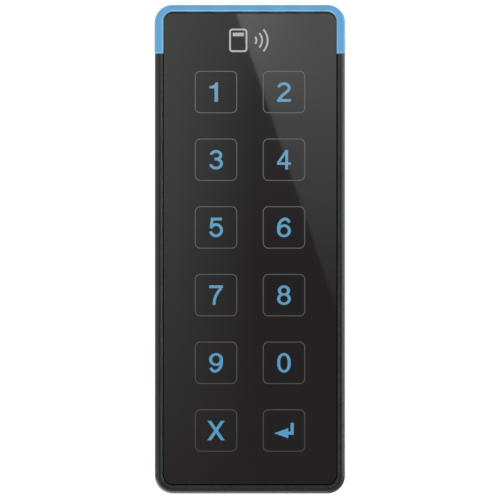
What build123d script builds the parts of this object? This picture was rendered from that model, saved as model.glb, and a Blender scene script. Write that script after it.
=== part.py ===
"""Wall-mounted keypad access reader, built as the separate pieces it is assembled from.

Frame: the wall is the plane Y = 0 and the reader stands out from it towards -Y. +Z is up and +X is to the
right of a person who faces the keypad. The origin is the middle of the mounting plate's wall face.
All sizes are in millimetres. A "level" is a distance from the wall.
"""

import os

from build123d import *

# ---------------------------------------------------------------- overall form
body_width = 58.4
body_height = 150.0
body_depth = 22.0
corner_radius = 5.5
side_border = 2.3
bottom_border = 2.6
top_border = 2.2

# ---------------------------------------------------------------- general fits
slip_gap = 0.2
hinge_clearance = 0.08
sliding_clearance = 0.1

# ---------------------------------------------------------------- hinge at the top
hinge_level = 3.4
hinge_drop = 4.8
hinge_bar_radius = 1.1
hook_spacing = 28.0
hook_width = 7.0
hook_wall = 1.15
hook_lip = 1.0
hook_notch_drop = 2.7
ear_thickness = 2.0
ear_wall = 0.8
ear_gap = 0.35

hinge_rise = body_height / 2 - hinge_drop
hook_bore_radius = hinge_bar_radius + hinge_clearance
hook_radius = hook_bore_radius + hook_wall
ear_radius = hinge_bar_radius + ear_wall

# ---------------------------------------------------------------- layers, counted from the wall
plate_thickness = 2.4
rear_gap = 1.0
cover_hook_gap = 0.17
cover_thickness = 1.7
gasket_height = 0.8
rear_component_room = 1.4
board_thickness = 1.6
touch_board_level = 16.5
touch_board_thickness = 1.0
ledge_thickness = 1.6
tape_thickness = 0.3
panel_thickness = 1.7
bar_proud = 0.2
panel_sunk = 0.2

cover_level = hinge_level + hook_radius + cover_hook_gap
cover_inner_level = cover_level + cover_thickness
step_level = cover_inner_level + gasket_height
board_level = step_level + rear_component_room
board_front = board_level + board_thickness
touch_board_front = touch_board_level + touch_board_thickness
housing_front = body_depth - bar_proud
panel_front = housing_front - panel_sunk
panel_level = panel_front - panel_thickness
ledge_front = panel_level - tape_thickness
ledge_level = ledge_front - ledge_thickness

# ---------------------------------------------------------------- housing walls
rear_wall = 2.2
side_wall = 3.4
rear_chamfer = 1.5
front_rounding = 1.15
groove_inset = 1.25
groove_width = 0.45
groove_depth = 0.35
rim_lip = 0.22
cavity_floor_rise = 6.4
cavity_radius = 2.0
opening_margin_side = 3.6
opening_margin_end = 2.6
opening_radius = 3.0

pocket_width = body_width - 2 * rear_wall
pocket_height = body_height - 2 * rear_wall
pocket_radius = corner_radius - rear_wall
pocket_top = pocket_height / 2
cavity_width = body_width - 2 * side_wall
cavity_top = body_height / 2 - side_wall
cavity_bottom = cavity_floor_rise - body_height / 2
cavity_height = cavity_top - cavity_bottom
cavity_middle = (cavity_top + cavity_bottom) / 2
recess_width = body_width - 2 * side_border
recess_height = body_height - top_border - bottom_border
recess_middle = (bottom_border - top_border) / 2
recess_radius = corner_radius - side_border

# ---------------------------------------------------------------- light bar
bar_leg_length = 14.8
bar_stand_out = 0.12
bar_skirt_thickness = 1.2
bar_skirt_depth = 4.6
bar_rounding = 0.7
bar_joint_gap = 0.15
bar_over_panel = 0.3
bar_top_gap = 0.3
foot_count = 5
foot_pitch = 8.6
foot_width = 5.0
foot_length = 4.4

bar_end = body_height / 2 - bar_leg_length
skirt_level = ledge_front - bar_skirt_depth
skirt_seat_top = body_height / 2 - bar_skirt_thickness
foot_bottom = skirt_seat_top - foot_length
foot_level = ledge_level + slip_gap

# ---------------------------------------------------------------- keypad
key_columns = 2
key_rows = 6
key_pitch_across = 20.86
key_pitch_down = 20.78
key_field_drop = 3.62
key_outline_size = 13.0
key_outline_radius = 1.7
key_outline_line = 0.28
print_depth = 0.2
legend_depth = 0.3
stroke = 0.86
ring_side = 0.94
ring_end = 0.74
symbol_drop = 10.8
symbol_line = 0.55

key_field_middle = -key_field_drop
symbol_rise = body_height / 2 - symbol_drop
opening_width = (key_columns - 1) * key_pitch_across + key_outline_size + 2 * opening_margin_side
opening_height = (key_rows - 1) * key_pitch_down + key_outline_size + 2 * opening_margin_end

# ---------------------------------------------------------------- pillars and screws
cover_pillar_radius = 2.8
cover_pad_radius = 2.2
cover_screw_hole = 1.3
cover_pillar_inset = 6.0
cover_pillar_top_inset = 13.0
cover_pillar_bottom_inset = 15.0
cover_screw_radius = 1.1
cover_screw_length = 7.0
cover_head_radius = 2.1
cover_head_height = 1.3
board_pillar_radius = 2.1
board_pillar_inset = 6.6
board_pillar_top_inset = 35.0
board_pillar_bottom_inset = 37.0
board_screw_radius = 0.85
board_screw_length = 5.6
board_head_radius = 1.6
board_head_height = 1.1
pad_radius = 1.9
pad_inset = 6.2
pad_top_inset = 23.0
pad_bottom_inset = 26.0
pad_middle_rise = 6.0
pad_screw_radius = 0.7
pad_screw_length = 2.6
pad_head_radius = 1.3
pad_head_height = 0.7

cover_pillar_x = body_width / 2 - cover_pillar_inset
cover_pillar_top = body_height / 2 - cover_pillar_top_inset
cover_pillar_bottom = cover_pillar_bottom_inset - body_height / 2
board_pillar_x = body_width / 2 - board_pillar_inset
board_pillar_top = body_height / 2 - board_pillar_top_inset
board_pillar_bottom = board_pillar_bottom_inset - body_height / 2
pad_x = body_width / 2 - pad_inset
pad_rises = (body_height / 2 - pad_top_inset, pad_middle_rise, pad_bottom_inset - body_height / 2)

# ---------------------------------------------------------------- lock at the bottom
lock_level = 3.0
lock_web_rise = 4.4
lock_web = 2.3
lock_gap = 0.2
lug_width = 9.2
lug_height = 5.2
lug_depth = 5.6
insert_wall = 0.425
insert_length = 4.0
lock_screw_radius = 1.475
lock_bore_clearance = 0.075
lock_head_lip = 1.025
lock_head_height = 1.5
lock_washer_lip = 0.1
lock_washer_thickness = 0.4
lock_washer_gap = 0.06
lock_screw_reach = 7.3
head_slot_gap = 0.3
shank_slot_gap = 0.275
boss_width = 13.2
boss_wall = 1.3
drive_radius = 1.15
drive_depth = 0.9
drive_pin_radius = 0.38

insert_radius = lock_screw_radius + insert_wall
lock_head_radius = lock_screw_radius + lock_head_lip
lock_washer_radius = lock_head_radius + lock_washer_lip
head_slot_radius = lock_washer_radius + head_slot_gap
shank_slot_radius = lock_screw_radius + shank_slot_gap
boss_top = lock_web_rise - body_height / 2
web_bottom = boss_top - lock_web
lug_bottom = boss_top + lock_gap

# ---------------------------------------------------------------- mounting plate
plate_side_gap = 0.5
plate_top_above_hinge = 0.4
plate_radius = 2.6
rim_width = 1.2
rim_height = 1.0
corner_hole_radius = 2.1
corner_hole_across = 40.0
corner_hole_down = 112.0
corner_sink_radius = 3.9
box_slot_spacing = 83.3
box_slot_width = 3.8
box_slot_length = 8.0
cable_aperture_radius = 9.0
cable_rise = -24.0

# ---------------------------------------------------------------- rear cover and cable inlet
cover_gap = 0.3
cover_bottom_clearance = 0.7
gasket_width = 1.0
grommet_seat_radius = 4.6
grommet_flange_radius = 6.2
grommet_flange = 1.0
cable_radius = 2.75

# ---------------------------------------------------------------- tamper switch
tamper_x = 14.0
tamper_rise = 10.0
tamper_stem_radius = 1.2
tamper_flange_radius = 2.0
tamper_flange_thickness = 0.6
tamper_travel = 1.5
tamper_tip_gap = 0.1
tamper_pin_radius = 0.7
tamper_guide_radius = 3.2
tamper_guide_gap = 0.5
tamper_guide_floor = 0.8
tamper_body_size = 6.0
tamper_body_height = 1.6
spring_wire = 0.28
spring_turns = 3

# ---------------------------------------------------------------- boards and components
board_side_gap = 0.5
board_pillar_gap = 0.6
cable_slot_length = 14.0
cable_slot_width = 7.0
coil_rise = 22.0
coil_width = 38.0
coil_height = 56.0
coil_radius = 6.0
coil_band = 2.6
coil_turns = 3
coil_thickness = 1.6
bobbin_wall = 0.6
bobbin_level = 13.2
ferrite_thickness = 0.3
led_height = 0.6


def layer(level, x=0.0, z=0.0):
    """A sketch plane facing away from the wall at a level, with its centre at x and z."""
    return Plane(origin=(x, -level, z), x_dir=(1, 0, 0), z_dir=(0, -1, 0))


def floor_plane(z, level):
    """A sketch plane facing up at height z, with its centre at x = 0 and at a level."""
    return Plane(origin=(0, -level, z), x_dir=(1, 0, 0), z_dir=(0, 0, 1))


def hinge_plane(x):
    """A plane across the hinge axis, facing +X, with its own X towards the wall."""
    return Plane(origin=(x, -hinge_level, hinge_rise), x_dir=(0, 1, 0), z_dir=(1, 0, 0))


def save(builder, name):
    """Label a finished piece and write it."""
    builder.part.label = name
    export_step(builder.part, f"parts/{name}.step")


def mirrored(x, *rises):
    """The points at plus and minus x for each height."""
    return [(side * x, rise) for rise in rises for side in (-1, 1)]


os.makedirs("parts", exist_ok=True)

cover_pillars = mirrored(cover_pillar_x, cover_pillar_top, cover_pillar_bottom)
board_pillars = mirrored(board_pillar_x, board_pillar_top, board_pillar_bottom)
board_pads = mirrored(pad_x, *pad_rises)
hook_middles = (-hook_spacing / 2, hook_spacing / 2)
foot_middles = [foot_pitch * (i - (foot_count - 1) / 2) for i in range(foot_count)]
column_xs = [key_pitch_across * (i - (key_columns - 1) / 2) for i in range(key_columns)]
row_rises = [key_field_middle - key_pitch_down * (i - (key_rows - 1) / 2) for i in range(key_rows)]
key_places = [(x, rise) for rise in row_rises for x in column_xs]

# ================================================================ numerals and signs
# Each is drawn about its own middle: centre lines that a stroke follows, rings, or a plain outline.
cap = 3.0
half_wide = 2.12
line_top = cap - stroke / 2
line_side = half_wide - stroke / 2
small_bowl = 1.18
large_bowl = line_top - small_bowl
six_bowl = 1.98
two_bowl = 1.3


def bend(rise, across, up, start, turn):
    """A part of an ellipse about a middle on the centre line."""
    return EllipticalCenterArc((0, rise), across, up, start, arc_size=turn)


two_arc = bend(line_top - two_bowl, line_side - 0.08, two_bowl, 172, -208)
stroked_lines = {
    "2": [
        two_arc,
        Spline(two_arc @ 1, (-0.62, -1.2), (-1.72, 0.05 - cap), tangents=(two_arc % 1, (-0.3, -1))),
        Line((-half_wide, -line_top), (half_wide, -line_top)),
    ],
    "3": [
        bend(line_top - small_bowl, line_side - 0.22, small_bowl, 172, -262),
        bend(large_bowl - line_top, line_side, large_bowl, 90, -262),
        Line((-0.45, line_top - 2 * small_bowl), (0.1, line_top - 2 * small_bowl)),
    ],
    "5": [
        bend(1.72 - line_top, line_side, 1.72, 148, -316),
        Line((1.8, line_top), (-1.5, line_top)),
        Line((-1.1, cap), (-1.5, -0.25)),
    ],
    "6": [
        Spline(
            (-line_side, six_bowl - cap), (-1.42, 1.2), (0.12, line_top), (1.6, 1.5),
            tangents=((0, 1), (0.25, -1)),
        )
    ],
    "7": [
        Line((-half_wide, line_top), (half_wide, line_top)),
        ThreePointArc((1.6, cap - stroke), (0.05, 0.0), (-0.62, -cap)),
    ],
}
rings = {
    "0": [(0, half_wide - 0.06, cap, 0.9)],
    "6": [(six_bowl - cap, half_wide, six_bowl, 0)],
    "8": [
        (line_top - small_bowl, half_wide - 0.25, small_bowl + stroke / 2, 0),
        (large_bowl - line_top, half_wide, large_bowl + stroke / 2, 0),
    ],
}
one_outline = Polyline(
    (-2.0, 1.85), (-2.0, 1.12), (-0.45, 1.12), (-0.45, -cap), (0.6, -cap), (0.6, cap), (-0.1, cap),
    (-0.5, 2.3), (-1.1, 1.95), close=True,
)
four_outline = Polyline(
    (1.25, cap), (0.45, cap), (-2.12, -0.8), (-2.12, -1.55), (0.4, -1.55), (0.4, -cap),
    (1.25, -cap), (1.25, -1.55), (2.12, -1.55), (2.12, -0.8), (1.25, -0.8), close=True,
)
four_window = Polyline((0.4, 1.6), (0.4, -0.8), (-1.18, -0.8), close=True)
cross_bar = Polyline((-2.65, cap), (-1.5, cap), (2.65, -cap), (1.5, -cap), close=True)
enter_sign = Polyline(
    (-3.05, -0.83), (1.32, 0.72), (1.32, -0.36), (2.0, -0.36), (2.0, 2.36),
    (3.0, 2.36), (3.0, -1.3), (1.32, -1.3), (1.32, -2.38), close=True,
)


def oval(across, up, straight, mode):
    """Add or cut an oval whose sides may have a straight stretch in the middle."""
    if straight:
        Rectangle(2 * across, straight, mode=mode)
    with Locations((0, straight / 2), (0, -straight / 2)):
        Ellipse(across, up - straight / 2, mode=mode)


def draw_curved(sign, turn=0.0):
    """Add a numeral made of rings and strokes to the sketch in hand."""
    with Locations(Location((0, 0, 0), (0, 0, turn))):
        for rise, across, up, straight in rings.get(sign, []):
            with Locations((0, rise)):
                oval(across, up, straight, Mode.ADD)
        for rise, across, up, straight in rings.get(sign, []):
            with Locations((0, rise)):
                oval(across - ring_side, up - ring_end, straight, Mode.SUBTRACT)
    for line in stroked_lines.get(sign, []):
        trace(line.rotate(Axis.Z, turn), line_width=stroke)


def draw_sign(sign):
    """Add one numeral or sign to the sketch in hand."""
    if sign == "1":
        make_face(one_outline.edges())
    elif sign == "4":
        make_face(four_outline.edges())
        make_face(four_window.edges(), mode=Mode.SUBTRACT)
    elif sign == "9":
        draw_curved("6", turn=180.0)
    elif sign == "X":
        make_face(cross_bar.edges())
        make_face(cross_bar.mirror(Plane.YZ).edges())
    elif sign == "enter":
        make_face(enter_sign.edges())
    else:
        draw_curved(sign)


key_signs = ("1", "2", "3", "4", "5", "6", "7", "8", "9", "0", "X", "enter")
legend_level = panel_front - legend_depth
print_level = panel_front - print_depth

# ---- legend windows: clear inlays that let the key lights through the black panel
with BuildPart() as key_legends:
    for place, sign in zip(key_places, key_signs):
        with BuildSketch(layer(legend_level, *place)):
            draw_sign(sign)
        extrude(amount=legend_depth)
save(key_legends, "key_legends")

# ---- key outlines: a thin printed line round each touch key
with BuildPart() as key_outlines:
    for place in key_places:
        with BuildSketch(layer(print_level, *place)):
            RectangleRounded(key_outline_size, key_outline_size, key_outline_radius)
            inner_size = key_outline_size - 2 * key_outline_line
            inner_radius = key_outline_radius - key_outline_line
            RectangleRounded(inner_size, inner_size, inner_radius, mode=Mode.SUBTRACT)
        extrude(amount=print_depth)
save(key_outlines, "key_outlines")

# ---- reader symbol: a card held up to three waves, printed where a card is presented
card_width = 5.6
card_height = 7.2
card_x = -3.6
wave_radii = (1.6, 3.3, 5.0)
wave_half_angle = 42.0
waves = [CenterArc((0.4, 0), radius, -wave_half_angle, 2 * wave_half_angle) for radius in wave_radii]
with BuildPart() as reader_symbol:
    with BuildSketch(layer(print_level, 0, symbol_rise)):
        with Locations((card_x, 0)):
            RectangleRounded(card_width, card_height, 1.0)
            window_width = card_width - 2 * symbol_line
            window_height = card_height - 2 * symbol_line
            RectangleRounded(window_width, window_height, 1.0 - symbol_line, mode=Mode.SUBTRACT)
        with Locations((card_x, card_height / 4)):
            Rectangle(card_width - 4 * symbol_line, 2 * symbol_line)
        for wave in waves:
            trace(wave, line_width=symbol_line)
    extrude(amount=print_depth)
save(reader_symbol, "reader_symbol")

# ================================================================ front panel and what holds it
with BuildPart() as front_panel:
    with BuildSketch(layer(panel_level, 0, recess_middle)):
        panel_width = recess_width - 2 * slip_gap
        panel_height = recess_height - 2 * slip_gap
        RectangleRounded(panel_width, panel_height, recess_radius - slip_gap)
    extrude(amount=panel_thickness)
    chamfer(front_panel.faces().sort_by(Axis.Y)[0].edges(), 0.22)
    with BuildSketch(layer(panel_level, 0, bar_end - slip_gap + bar_leg_length / 2)):
        with GridLocations(recess_width, 1.0, 2, 1):
            Rectangle(2 * (bar_over_panel + slip_gap), bar_leg_length)
    extrude(amount=panel_thickness, mode=Mode.SUBTRACT)
    add(key_legends.part, mode=Mode.SUBTRACT)
    add(key_outlines.part, mode=Mode.SUBTRACT)
    add(reader_symbol.part, mode=Mode.SUBTRACT)
save(front_panel, "front_panel")

opening_middle = key_field_middle
with BuildPart() as panel_tape:
    with BuildSketch(layer(ledge_front, 0, recess_middle)):
        tape_inset = 2 * slip_gap
        tape_width = recess_width - 2 * tape_inset
        RectangleRounded(tape_width, recess_height - 2 * tape_inset, recess_radius - tape_inset)
    with BuildSketch(layer(ledge_front, 0, opening_middle), mode=Mode.SUBTRACT):
        RectangleRounded(opening_width + slip_gap, opening_height + slip_gap, opening_radius)
    extrude(amount=tape_thickness)
save(panel_tape, "panel_tape")

# ================================================================ housing
with BuildPart() as housing:
    with BuildSketch(layer(rear_gap)):
        RectangleRounded(body_width, body_height, corner_radius)
    extrude(amount=housing_front - rear_gap)
    chamfer(housing.faces().sort_by(Axis.Y)[-1].edges(), rear_chamfer)
    fillet(housing.faces().sort_by(Axis.Y)[0].edges(), front_rounding)

    # rear pocket, electronics cavity, window in the ledge and the seat of the front panel
    with BuildSketch(layer(rear_gap)):
        RectangleRounded(pocket_width, pocket_height, pocket_radius)
    extrude(amount=step_level - rear_gap, mode=Mode.SUBTRACT)
    with BuildSketch(layer(step_level, 0, cavity_middle)):
        RectangleRounded(cavity_width, cavity_height, cavity_radius)
    extrude(amount=ledge_level - step_level, mode=Mode.SUBTRACT)
    with BuildSketch(layer(ledge_level, 0, opening_middle)):
        RectangleRounded(opening_width, opening_height, opening_radius)
    extrude(amount=ledge_thickness, mode=Mode.SUBTRACT)
    with BuildSketch(layer(ledge_front, 0, recess_middle)):
        RectangleRounded(recess_width, recess_height, recess_radius)
    extrude(amount=housing_front - ledge_front, mode=Mode.SUBTRACT)

    # small chamfer on the rim's inner edge, and a shallow groove that runs round the front rim
    with BuildSketch(layer(housing_front - rim_lip, 0, recess_middle)):
        RectangleRounded(recess_width, recess_height, recess_radius)
    extrude(amount=rim_lip, taper=-45, mode=Mode.SUBTRACT)
    with BuildSketch(layer(housing_front - groove_depth)):
        for inset, mode in ((groove_inset, Mode.ADD), (groove_inset + groove_width, Mode.SUBTRACT)):
            ring_height = body_height - 2 * inset
            RectangleRounded(body_width - 2 * inset, ring_height, corner_radius - inset, mode=mode)
    extrude(amount=groove_depth, mode=Mode.SUBTRACT)

    # seat of the light bar: the front rim is cut away and the skirt gets a rebate
    seat_height = bar_leg_length + bar_joint_gap
    seat_middle = body_height / 2 - seat_height / 2
    with BuildSketch(layer(ledge_front, 0, seat_middle)):
        Rectangle(body_width, seat_height)
    extrude(amount=housing_front - ledge_front, mode=Mode.SUBTRACT)
    with BuildSketch(layer(skirt_level)):
        with Locations((0, seat_middle)):
            Rectangle(body_width, seat_height)
        inner_width = body_width - 2 * bar_skirt_thickness
        inner_height = body_height - 2 * bar_skirt_thickness
        RectangleRounded(inner_width, inner_height, corner_radius - bar_skirt_thickness, mode=Mode.SUBTRACT)
    extrude(amount=ledge_front - skirt_level, mode=Mode.SUBTRACT)
    with BuildSketch(layer(ledge_level)):
        for x in foot_middles:
            with Locations((x, (skirt_seat_top + foot_bottom - slip_gap) / 2)):
                Rectangle(foot_width + slip_gap, skirt_seat_top - foot_bottom + slip_gap)
    extrude(amount=ledge_thickness, mode=Mode.SUBTRACT)

    # pillars for the rear cover, the main board and the touch board
    with BuildSketch(layer(step_level)):
        with Locations(*cover_pillars):
            Circle(cover_pillar_radius)
    extrude(amount=ledge_level - step_level)
    with BuildSketch(layer(cover_inner_level)):
        with Locations(*cover_pillars):
            Circle(cover_pad_radius)
    extrude(amount=gasket_height)
    with BuildSketch(layer(board_front)):
        with Locations(*board_pillars):
            Circle(board_pillar_radius)
        for x, rise in board_pillars:
            side = 1 if x > 0 else -1
            with Locations((x + side * board_pillar_radius, rise)):
                Rectangle(2 * board_pillar_radius, board_pillar_radius)
    extrude(amount=ledge_level - board_front)
    with BuildSketch(layer(touch_board_front)):
        with Locations(*board_pads):
            Circle(pad_radius)
    extrude(amount=ledge_level - touch_board_front)

    # screw holes
    with BuildSketch(layer(cover_inner_level)):
        with Locations(*cover_pillars):
            Circle(cover_screw_radius)
    extrude(amount=cover_screw_length - cover_thickness + slip_gap, mode=Mode.SUBTRACT)
    with BuildSketch(layer(board_front)):
        with Locations(*board_pillars):
            Circle(board_screw_radius)
    extrude(amount=board_screw_length - board_thickness + slip_gap, mode=Mode.SUBTRACT)
    with BuildSketch(layer(touch_board_front)):
        with Locations(*board_pads):
            Circle(pad_screw_radius)
    extrude(amount=pad_screw_length - touch_board_thickness + slip_gap, mode=Mode.SUBTRACT)

    # hooks that hang on the mounting plate, open at the bottom
    for x in hook_middles:
        with BuildSketch(hinge_plane(x - hook_width / 2)):
            with Locations((0, (body_height / 2 - rear_chamfer - hinge_rise - hook_lip) / 2)):
                Rectangle(2 * hook_radius, body_height / 2 - rear_chamfer - hinge_rise + hook_lip)
            Circle(hook_bore_radius, mode=Mode.SUBTRACT)
            with Locations((0, -hook_radius / 2)):
                Rectangle(2 * hook_bore_radius, hook_radius, mode=Mode.SUBTRACT)
        extrude(amount=hook_width)

    # block for the lock screw, slotted so that it draws off the screw towards the front
    with BuildSketch(layer(rear_gap, 0, boss_top - (boss_top + pocket_top) / 2)):
        Rectangle(boss_width, boss_top + pocket_top)
    extrude(amount=lock_level + head_slot_radius + boss_wall - rear_gap)
    for bottom, top, radius in (
        (-body_height / 2, web_bottom, head_slot_radius),
        (web_bottom, boss_top, shank_slot_radius),
    ):
        with BuildSketch(floor_plane(bottom, lock_level)):
            Circle(radius)
            with Locations((0, lock_level / 2)):
                Rectangle(2 * radius, lock_level)
        extrude(amount=top - bottom, mode=Mode.SUBTRACT)
save(housing, "housing")

# ================================================================ light bar over the top
with BuildPart() as light_bar:
    bar_width = body_width + 2 * bar_stand_out
    bar_height = bar_leg_length + bar_stand_out
    bar_middle = bar_end + bar_height / 2
    for level, thickness, inset_x, inset_top in (
        (ledge_front, body_depth - ledge_front, side_border + bar_over_panel, top_border - bar_top_gap),
        (skirt_level, ledge_front - skirt_level, bar_skirt_thickness, bar_skirt_thickness),
    ):
        with BuildSketch(layer(level)):
            RectangleRounded(bar_width, body_height + 2 * bar_stand_out, corner_radius + bar_stand_out)
            with Locations((0, bar_end - body_height / 2)):
                Rectangle(2 * body_width, body_height, mode=Mode.SUBTRACT)
            with Locations((0, -inset_top)):
                inner_width = body_width - 2 * inset_x
                RectangleRounded(inner_width, body_height, corner_radius - inset_x, mode=Mode.SUBTRACT)
        extrude(amount=thickness)
    fillet(light_bar.faces().sort_by(Axis.Y)[0].edges(), bar_rounding)
    with BuildSketch(layer(foot_level)):
        for x in foot_middles:
            with Locations((x, (foot_bottom + skirt_seat_top) / 2)):
                Rectangle(foot_width, skirt_seat_top - foot_bottom)
    extrude(amount=ledge_front - foot_level)
save(light_bar, "light_bar")

# ---- light guide in the window of the ledge
with BuildPart() as light_guide:
    with BuildSketch(layer(ledge_level + slip_gap, 0, opening_middle)):
        RectangleRounded(opening_width - slip_gap, opening_height - slip_gap, opening_radius - slip_gap)
    extrude(amount=ledge_thickness - slip_gap)
save(light_guide, "light_guide")

# ================================================================ touch board
touch_board_bottom = cavity_bottom + 4.0
touch_board_top = cavity_top - board_side_gap
board_width = cavity_width - 2 * board_side_gap


def pillar_notches(pillars, radius):
    """Cut a notch round each pillar, open at the board's nearer side."""
    with Locations(*pillars):
        Circle(radius, mode=Mode.SUBTRACT)
    for x, rise in pillars:
        side = 1 if x > 0 else -1
        with Locations((x + side * board_width / 4, rise)):
            Rectangle(board_width / 2, 2 * radius, mode=Mode.SUBTRACT)


with BuildPart() as touch_board:
    with BuildSketch(layer(touch_board_level)):
        with Locations((0, (touch_board_top + touch_board_bottom) / 2)):
            RectangleRounded(board_width, touch_board_top - touch_board_bottom, 1.5)
        pillar_notches(cover_pillars, cover_pillar_radius + board_side_gap)
        pillar_notches(board_pillars, board_pillar_radius + board_side_gap)
        with Locations(*board_pads):
            Circle(pad_screw_radius + sliding_clearance, mode=Mode.SUBTRACT)
    extrude(amount=touch_board_thickness)
save(touch_board, "touch_board")


def screw_set(name, places, head_level, head_radius, head_height, shank_radius, shank_length, socket_radius):
    """Write pan-head screws that are driven away from the wall, each with a six-sided socket."""
    with BuildPart() as screws:
        with BuildSketch(layer(head_level - head_height)):
            with Locations(*places):
                Circle(head_radius)
        extrude(amount=head_height)
        rims = screws.edges().filter_by(GeomType.CIRCLE).group_by(Axis.Y)[-1]
        fillet(rims, head_height * 0.4)
        with BuildSketch(layer(head_level)):
            with Locations(*places):
                Circle(shank_radius)
        extrude(amount=shank_length)
        with BuildSketch(layer(head_level - head_height)):
            with Locations(*places):
                RegularPolygon(socket_radius, 6)
        extrude(amount=head_height * 0.55, mode=Mode.SUBTRACT)
    save(screws, name)


screw_set(
    "touch_board_screws", board_pads, touch_board_level, pad_head_radius, pad_head_height, pad_screw_radius,
    pad_screw_length, 0.6,
)

# ---- lights on the touch board
with BuildPart() as key_leds:
    with BuildSketch(layer(touch_board_front)):
        with Locations(*key_places):
            Rectangle(1.6, 0.8)
    extrude(amount=led_height)
save(key_leds, "key_leds")

with BuildPart() as status_leds:
    with BuildSketch(layer(touch_board_front, 0, foot_bottom + 1.0)):
        with Locations(*[(x, 0) for x in foot_middles]):
            Rectangle(3.2, 1.4)
    extrude(amount=led_height)
save(status_leds, "status_leds")

# ================================================================ main board
main_board_bottom = cover_pillar_bottom + cover_pillar_radius + board_pillar_gap
main_board_top = cover_pillar_top - cover_pillar_radius - board_pillar_gap

with BuildPart() as main_board:
    with BuildSketch(layer(board_level)):
        with Locations((0, (main_board_top + main_board_bottom) / 2)):
            RectangleRounded(board_width, main_board_top - main_board_bottom, 1.5)
        with Locations(*board_pillars):
            Circle(board_screw_radius + sliding_clearance, mode=Mode.SUBTRACT)
        with Locations((0, cable_rise)):
            RectangleRounded(cable_slot_length, cable_slot_width, 2.0, mode=Mode.SUBTRACT)
    extrude(amount=board_thickness)
save(main_board, "main_board")

screw_set(
    "main_board_screws", board_pillars, board_level, board_head_radius, board_head_height,
    board_screw_radius, board_screw_length, 0.75,
)


def block(name, x, rise, across, up, height, rounding=0.0):
    """Write one box-shaped component that stands on the front of the main board."""
    with BuildPart() as component:
        with BuildSketch(layer(board_front, x, rise)):
            Rectangle(across, up)
        extrude(amount=height)
        if rounding:
            fillet(component.edges().filter_by(Axis.Y), rounding)
            fillet(component.faces().sort_by(Axis.Y)[0].edges(), rounding / 2)
    save(component, name)


block("microcontroller", -15.0, -30.0, 8.0, 8.0, 1.0)
block("radio_module", 15.0, -46.0, 12.0, 9.6, 1.9, rounding=0.5)
block("reader_chip", 0.0, coil_rise, 6.0, 6.0, 0.9)
block("crystal", 7.5, coil_rise + 3.0, 3.2, 2.5, 0.8, rounding=0.35)
block("power_coil", 15.5, -31.0, 5.2, 5.2, 3.0, rounding=0.9)

with BuildPart() as capacitors:
    with BuildSketch(layer(board_front)):
        with Locations(*[(x, -31.0 + 14.0) for x in (13.0, 18.5, -13.0)]):
            Circle(2.0)
    extrude(amount=3.4)
save(capacitors, "capacitors")

with BuildPart() as chip_parts:
    with BuildSketch(layer(board_front)):
        with Locations((-15.0, -22.8)):
            with GridLocations(2.0, 1.6, 4, 2):
                Rectangle(1.2, 0.7)
        with Locations((0.0, coil_rise - 7.0)):
            with GridLocations(2.2, 2.0, 5, 2):
                Rectangle(1.4, 0.8)
        with Locations((15.5, -37.4)):
            with GridLocations(2.0, 1.6, 5, 1):
                Rectangle(1.2, 0.7)
        with Locations((0.0, 54.6)):
            with GridLocations(2.4, 2.0, 9, 2):
                Rectangle(1.4, 0.8)
    extrude(amount=0.55)
save(chip_parts, "chip_parts")

buzzer_radius = 4.6
buzzer_height = 2.6
with BuildPart() as buzzer:
    with BuildSketch(layer(board_front, -16.0, -46.0)):
        Circle(buzzer_radius)
    extrude(amount=buzzer_height)
    fillet(buzzer.faces().sort_by(Axis.Y)[0].edges(), 0.4)
    with BuildSketch(layer(board_front + buzzer_height - 0.8, -16.0, -46.0)):
        Circle(0.9)
    extrude(amount=0.8, mode=Mode.SUBTRACT)
save(buzzer, "buzzer")

# ---- cable connector beside the slot, and the plug-and-socket pair between the boards
connector_ways = 6
connector_pitch = 2.0
with BuildPart() as cable_connector:
    with BuildSketch(layer(board_front, 0, cable_rise - 9.0)):
        Rectangle(connector_ways * connector_pitch + 1.6, 5.6)
    extrude(amount=4.4)
    with BuildSketch(floor_plane(cable_rise - 6.2, board_front + 2.4)):
        with GridLocations(connector_pitch, 1.0, connector_ways, 1):
            Rectangle(1.3, 2.2)
    extrude(amount=-3.4, mode=Mode.SUBTRACT)
save(cable_connector, "cable_connector")

link_ways = 8
link_pitch = 1.6
link_rise = -49.0
link_split = board_front + 3.2
with BuildPart() as board_socket:
    with BuildSketch(layer(board_front, 0, link_rise)):
        Rectangle(link_ways * link_pitch + 1.0, 4.4)
    extrude(amount=link_split - board_front)
    with BuildSketch(layer(link_split, 0, link_rise)):
        with GridLocations(link_pitch, link_pitch, link_ways, 2):
            Rectangle(0.7, 0.7)
    extrude(amount=-2.6, mode=Mode.SUBTRACT)
save(board_socket, "board_socket")

with BuildPart() as board_header:
    with BuildSketch(layer(link_split, 0, link_rise)):
        Rectangle(link_ways * link_pitch + 0.4, 3.8)
    extrude(amount=touch_board_level - link_split)
    with BuildSketch(layer(link_split, 0, link_rise)):
        with GridLocations(link_pitch, link_pitch, link_ways, 2):
            Rectangle(0.5, 0.5)
    extrude(amount=-2.3)
save(board_header, "board_header")

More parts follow.
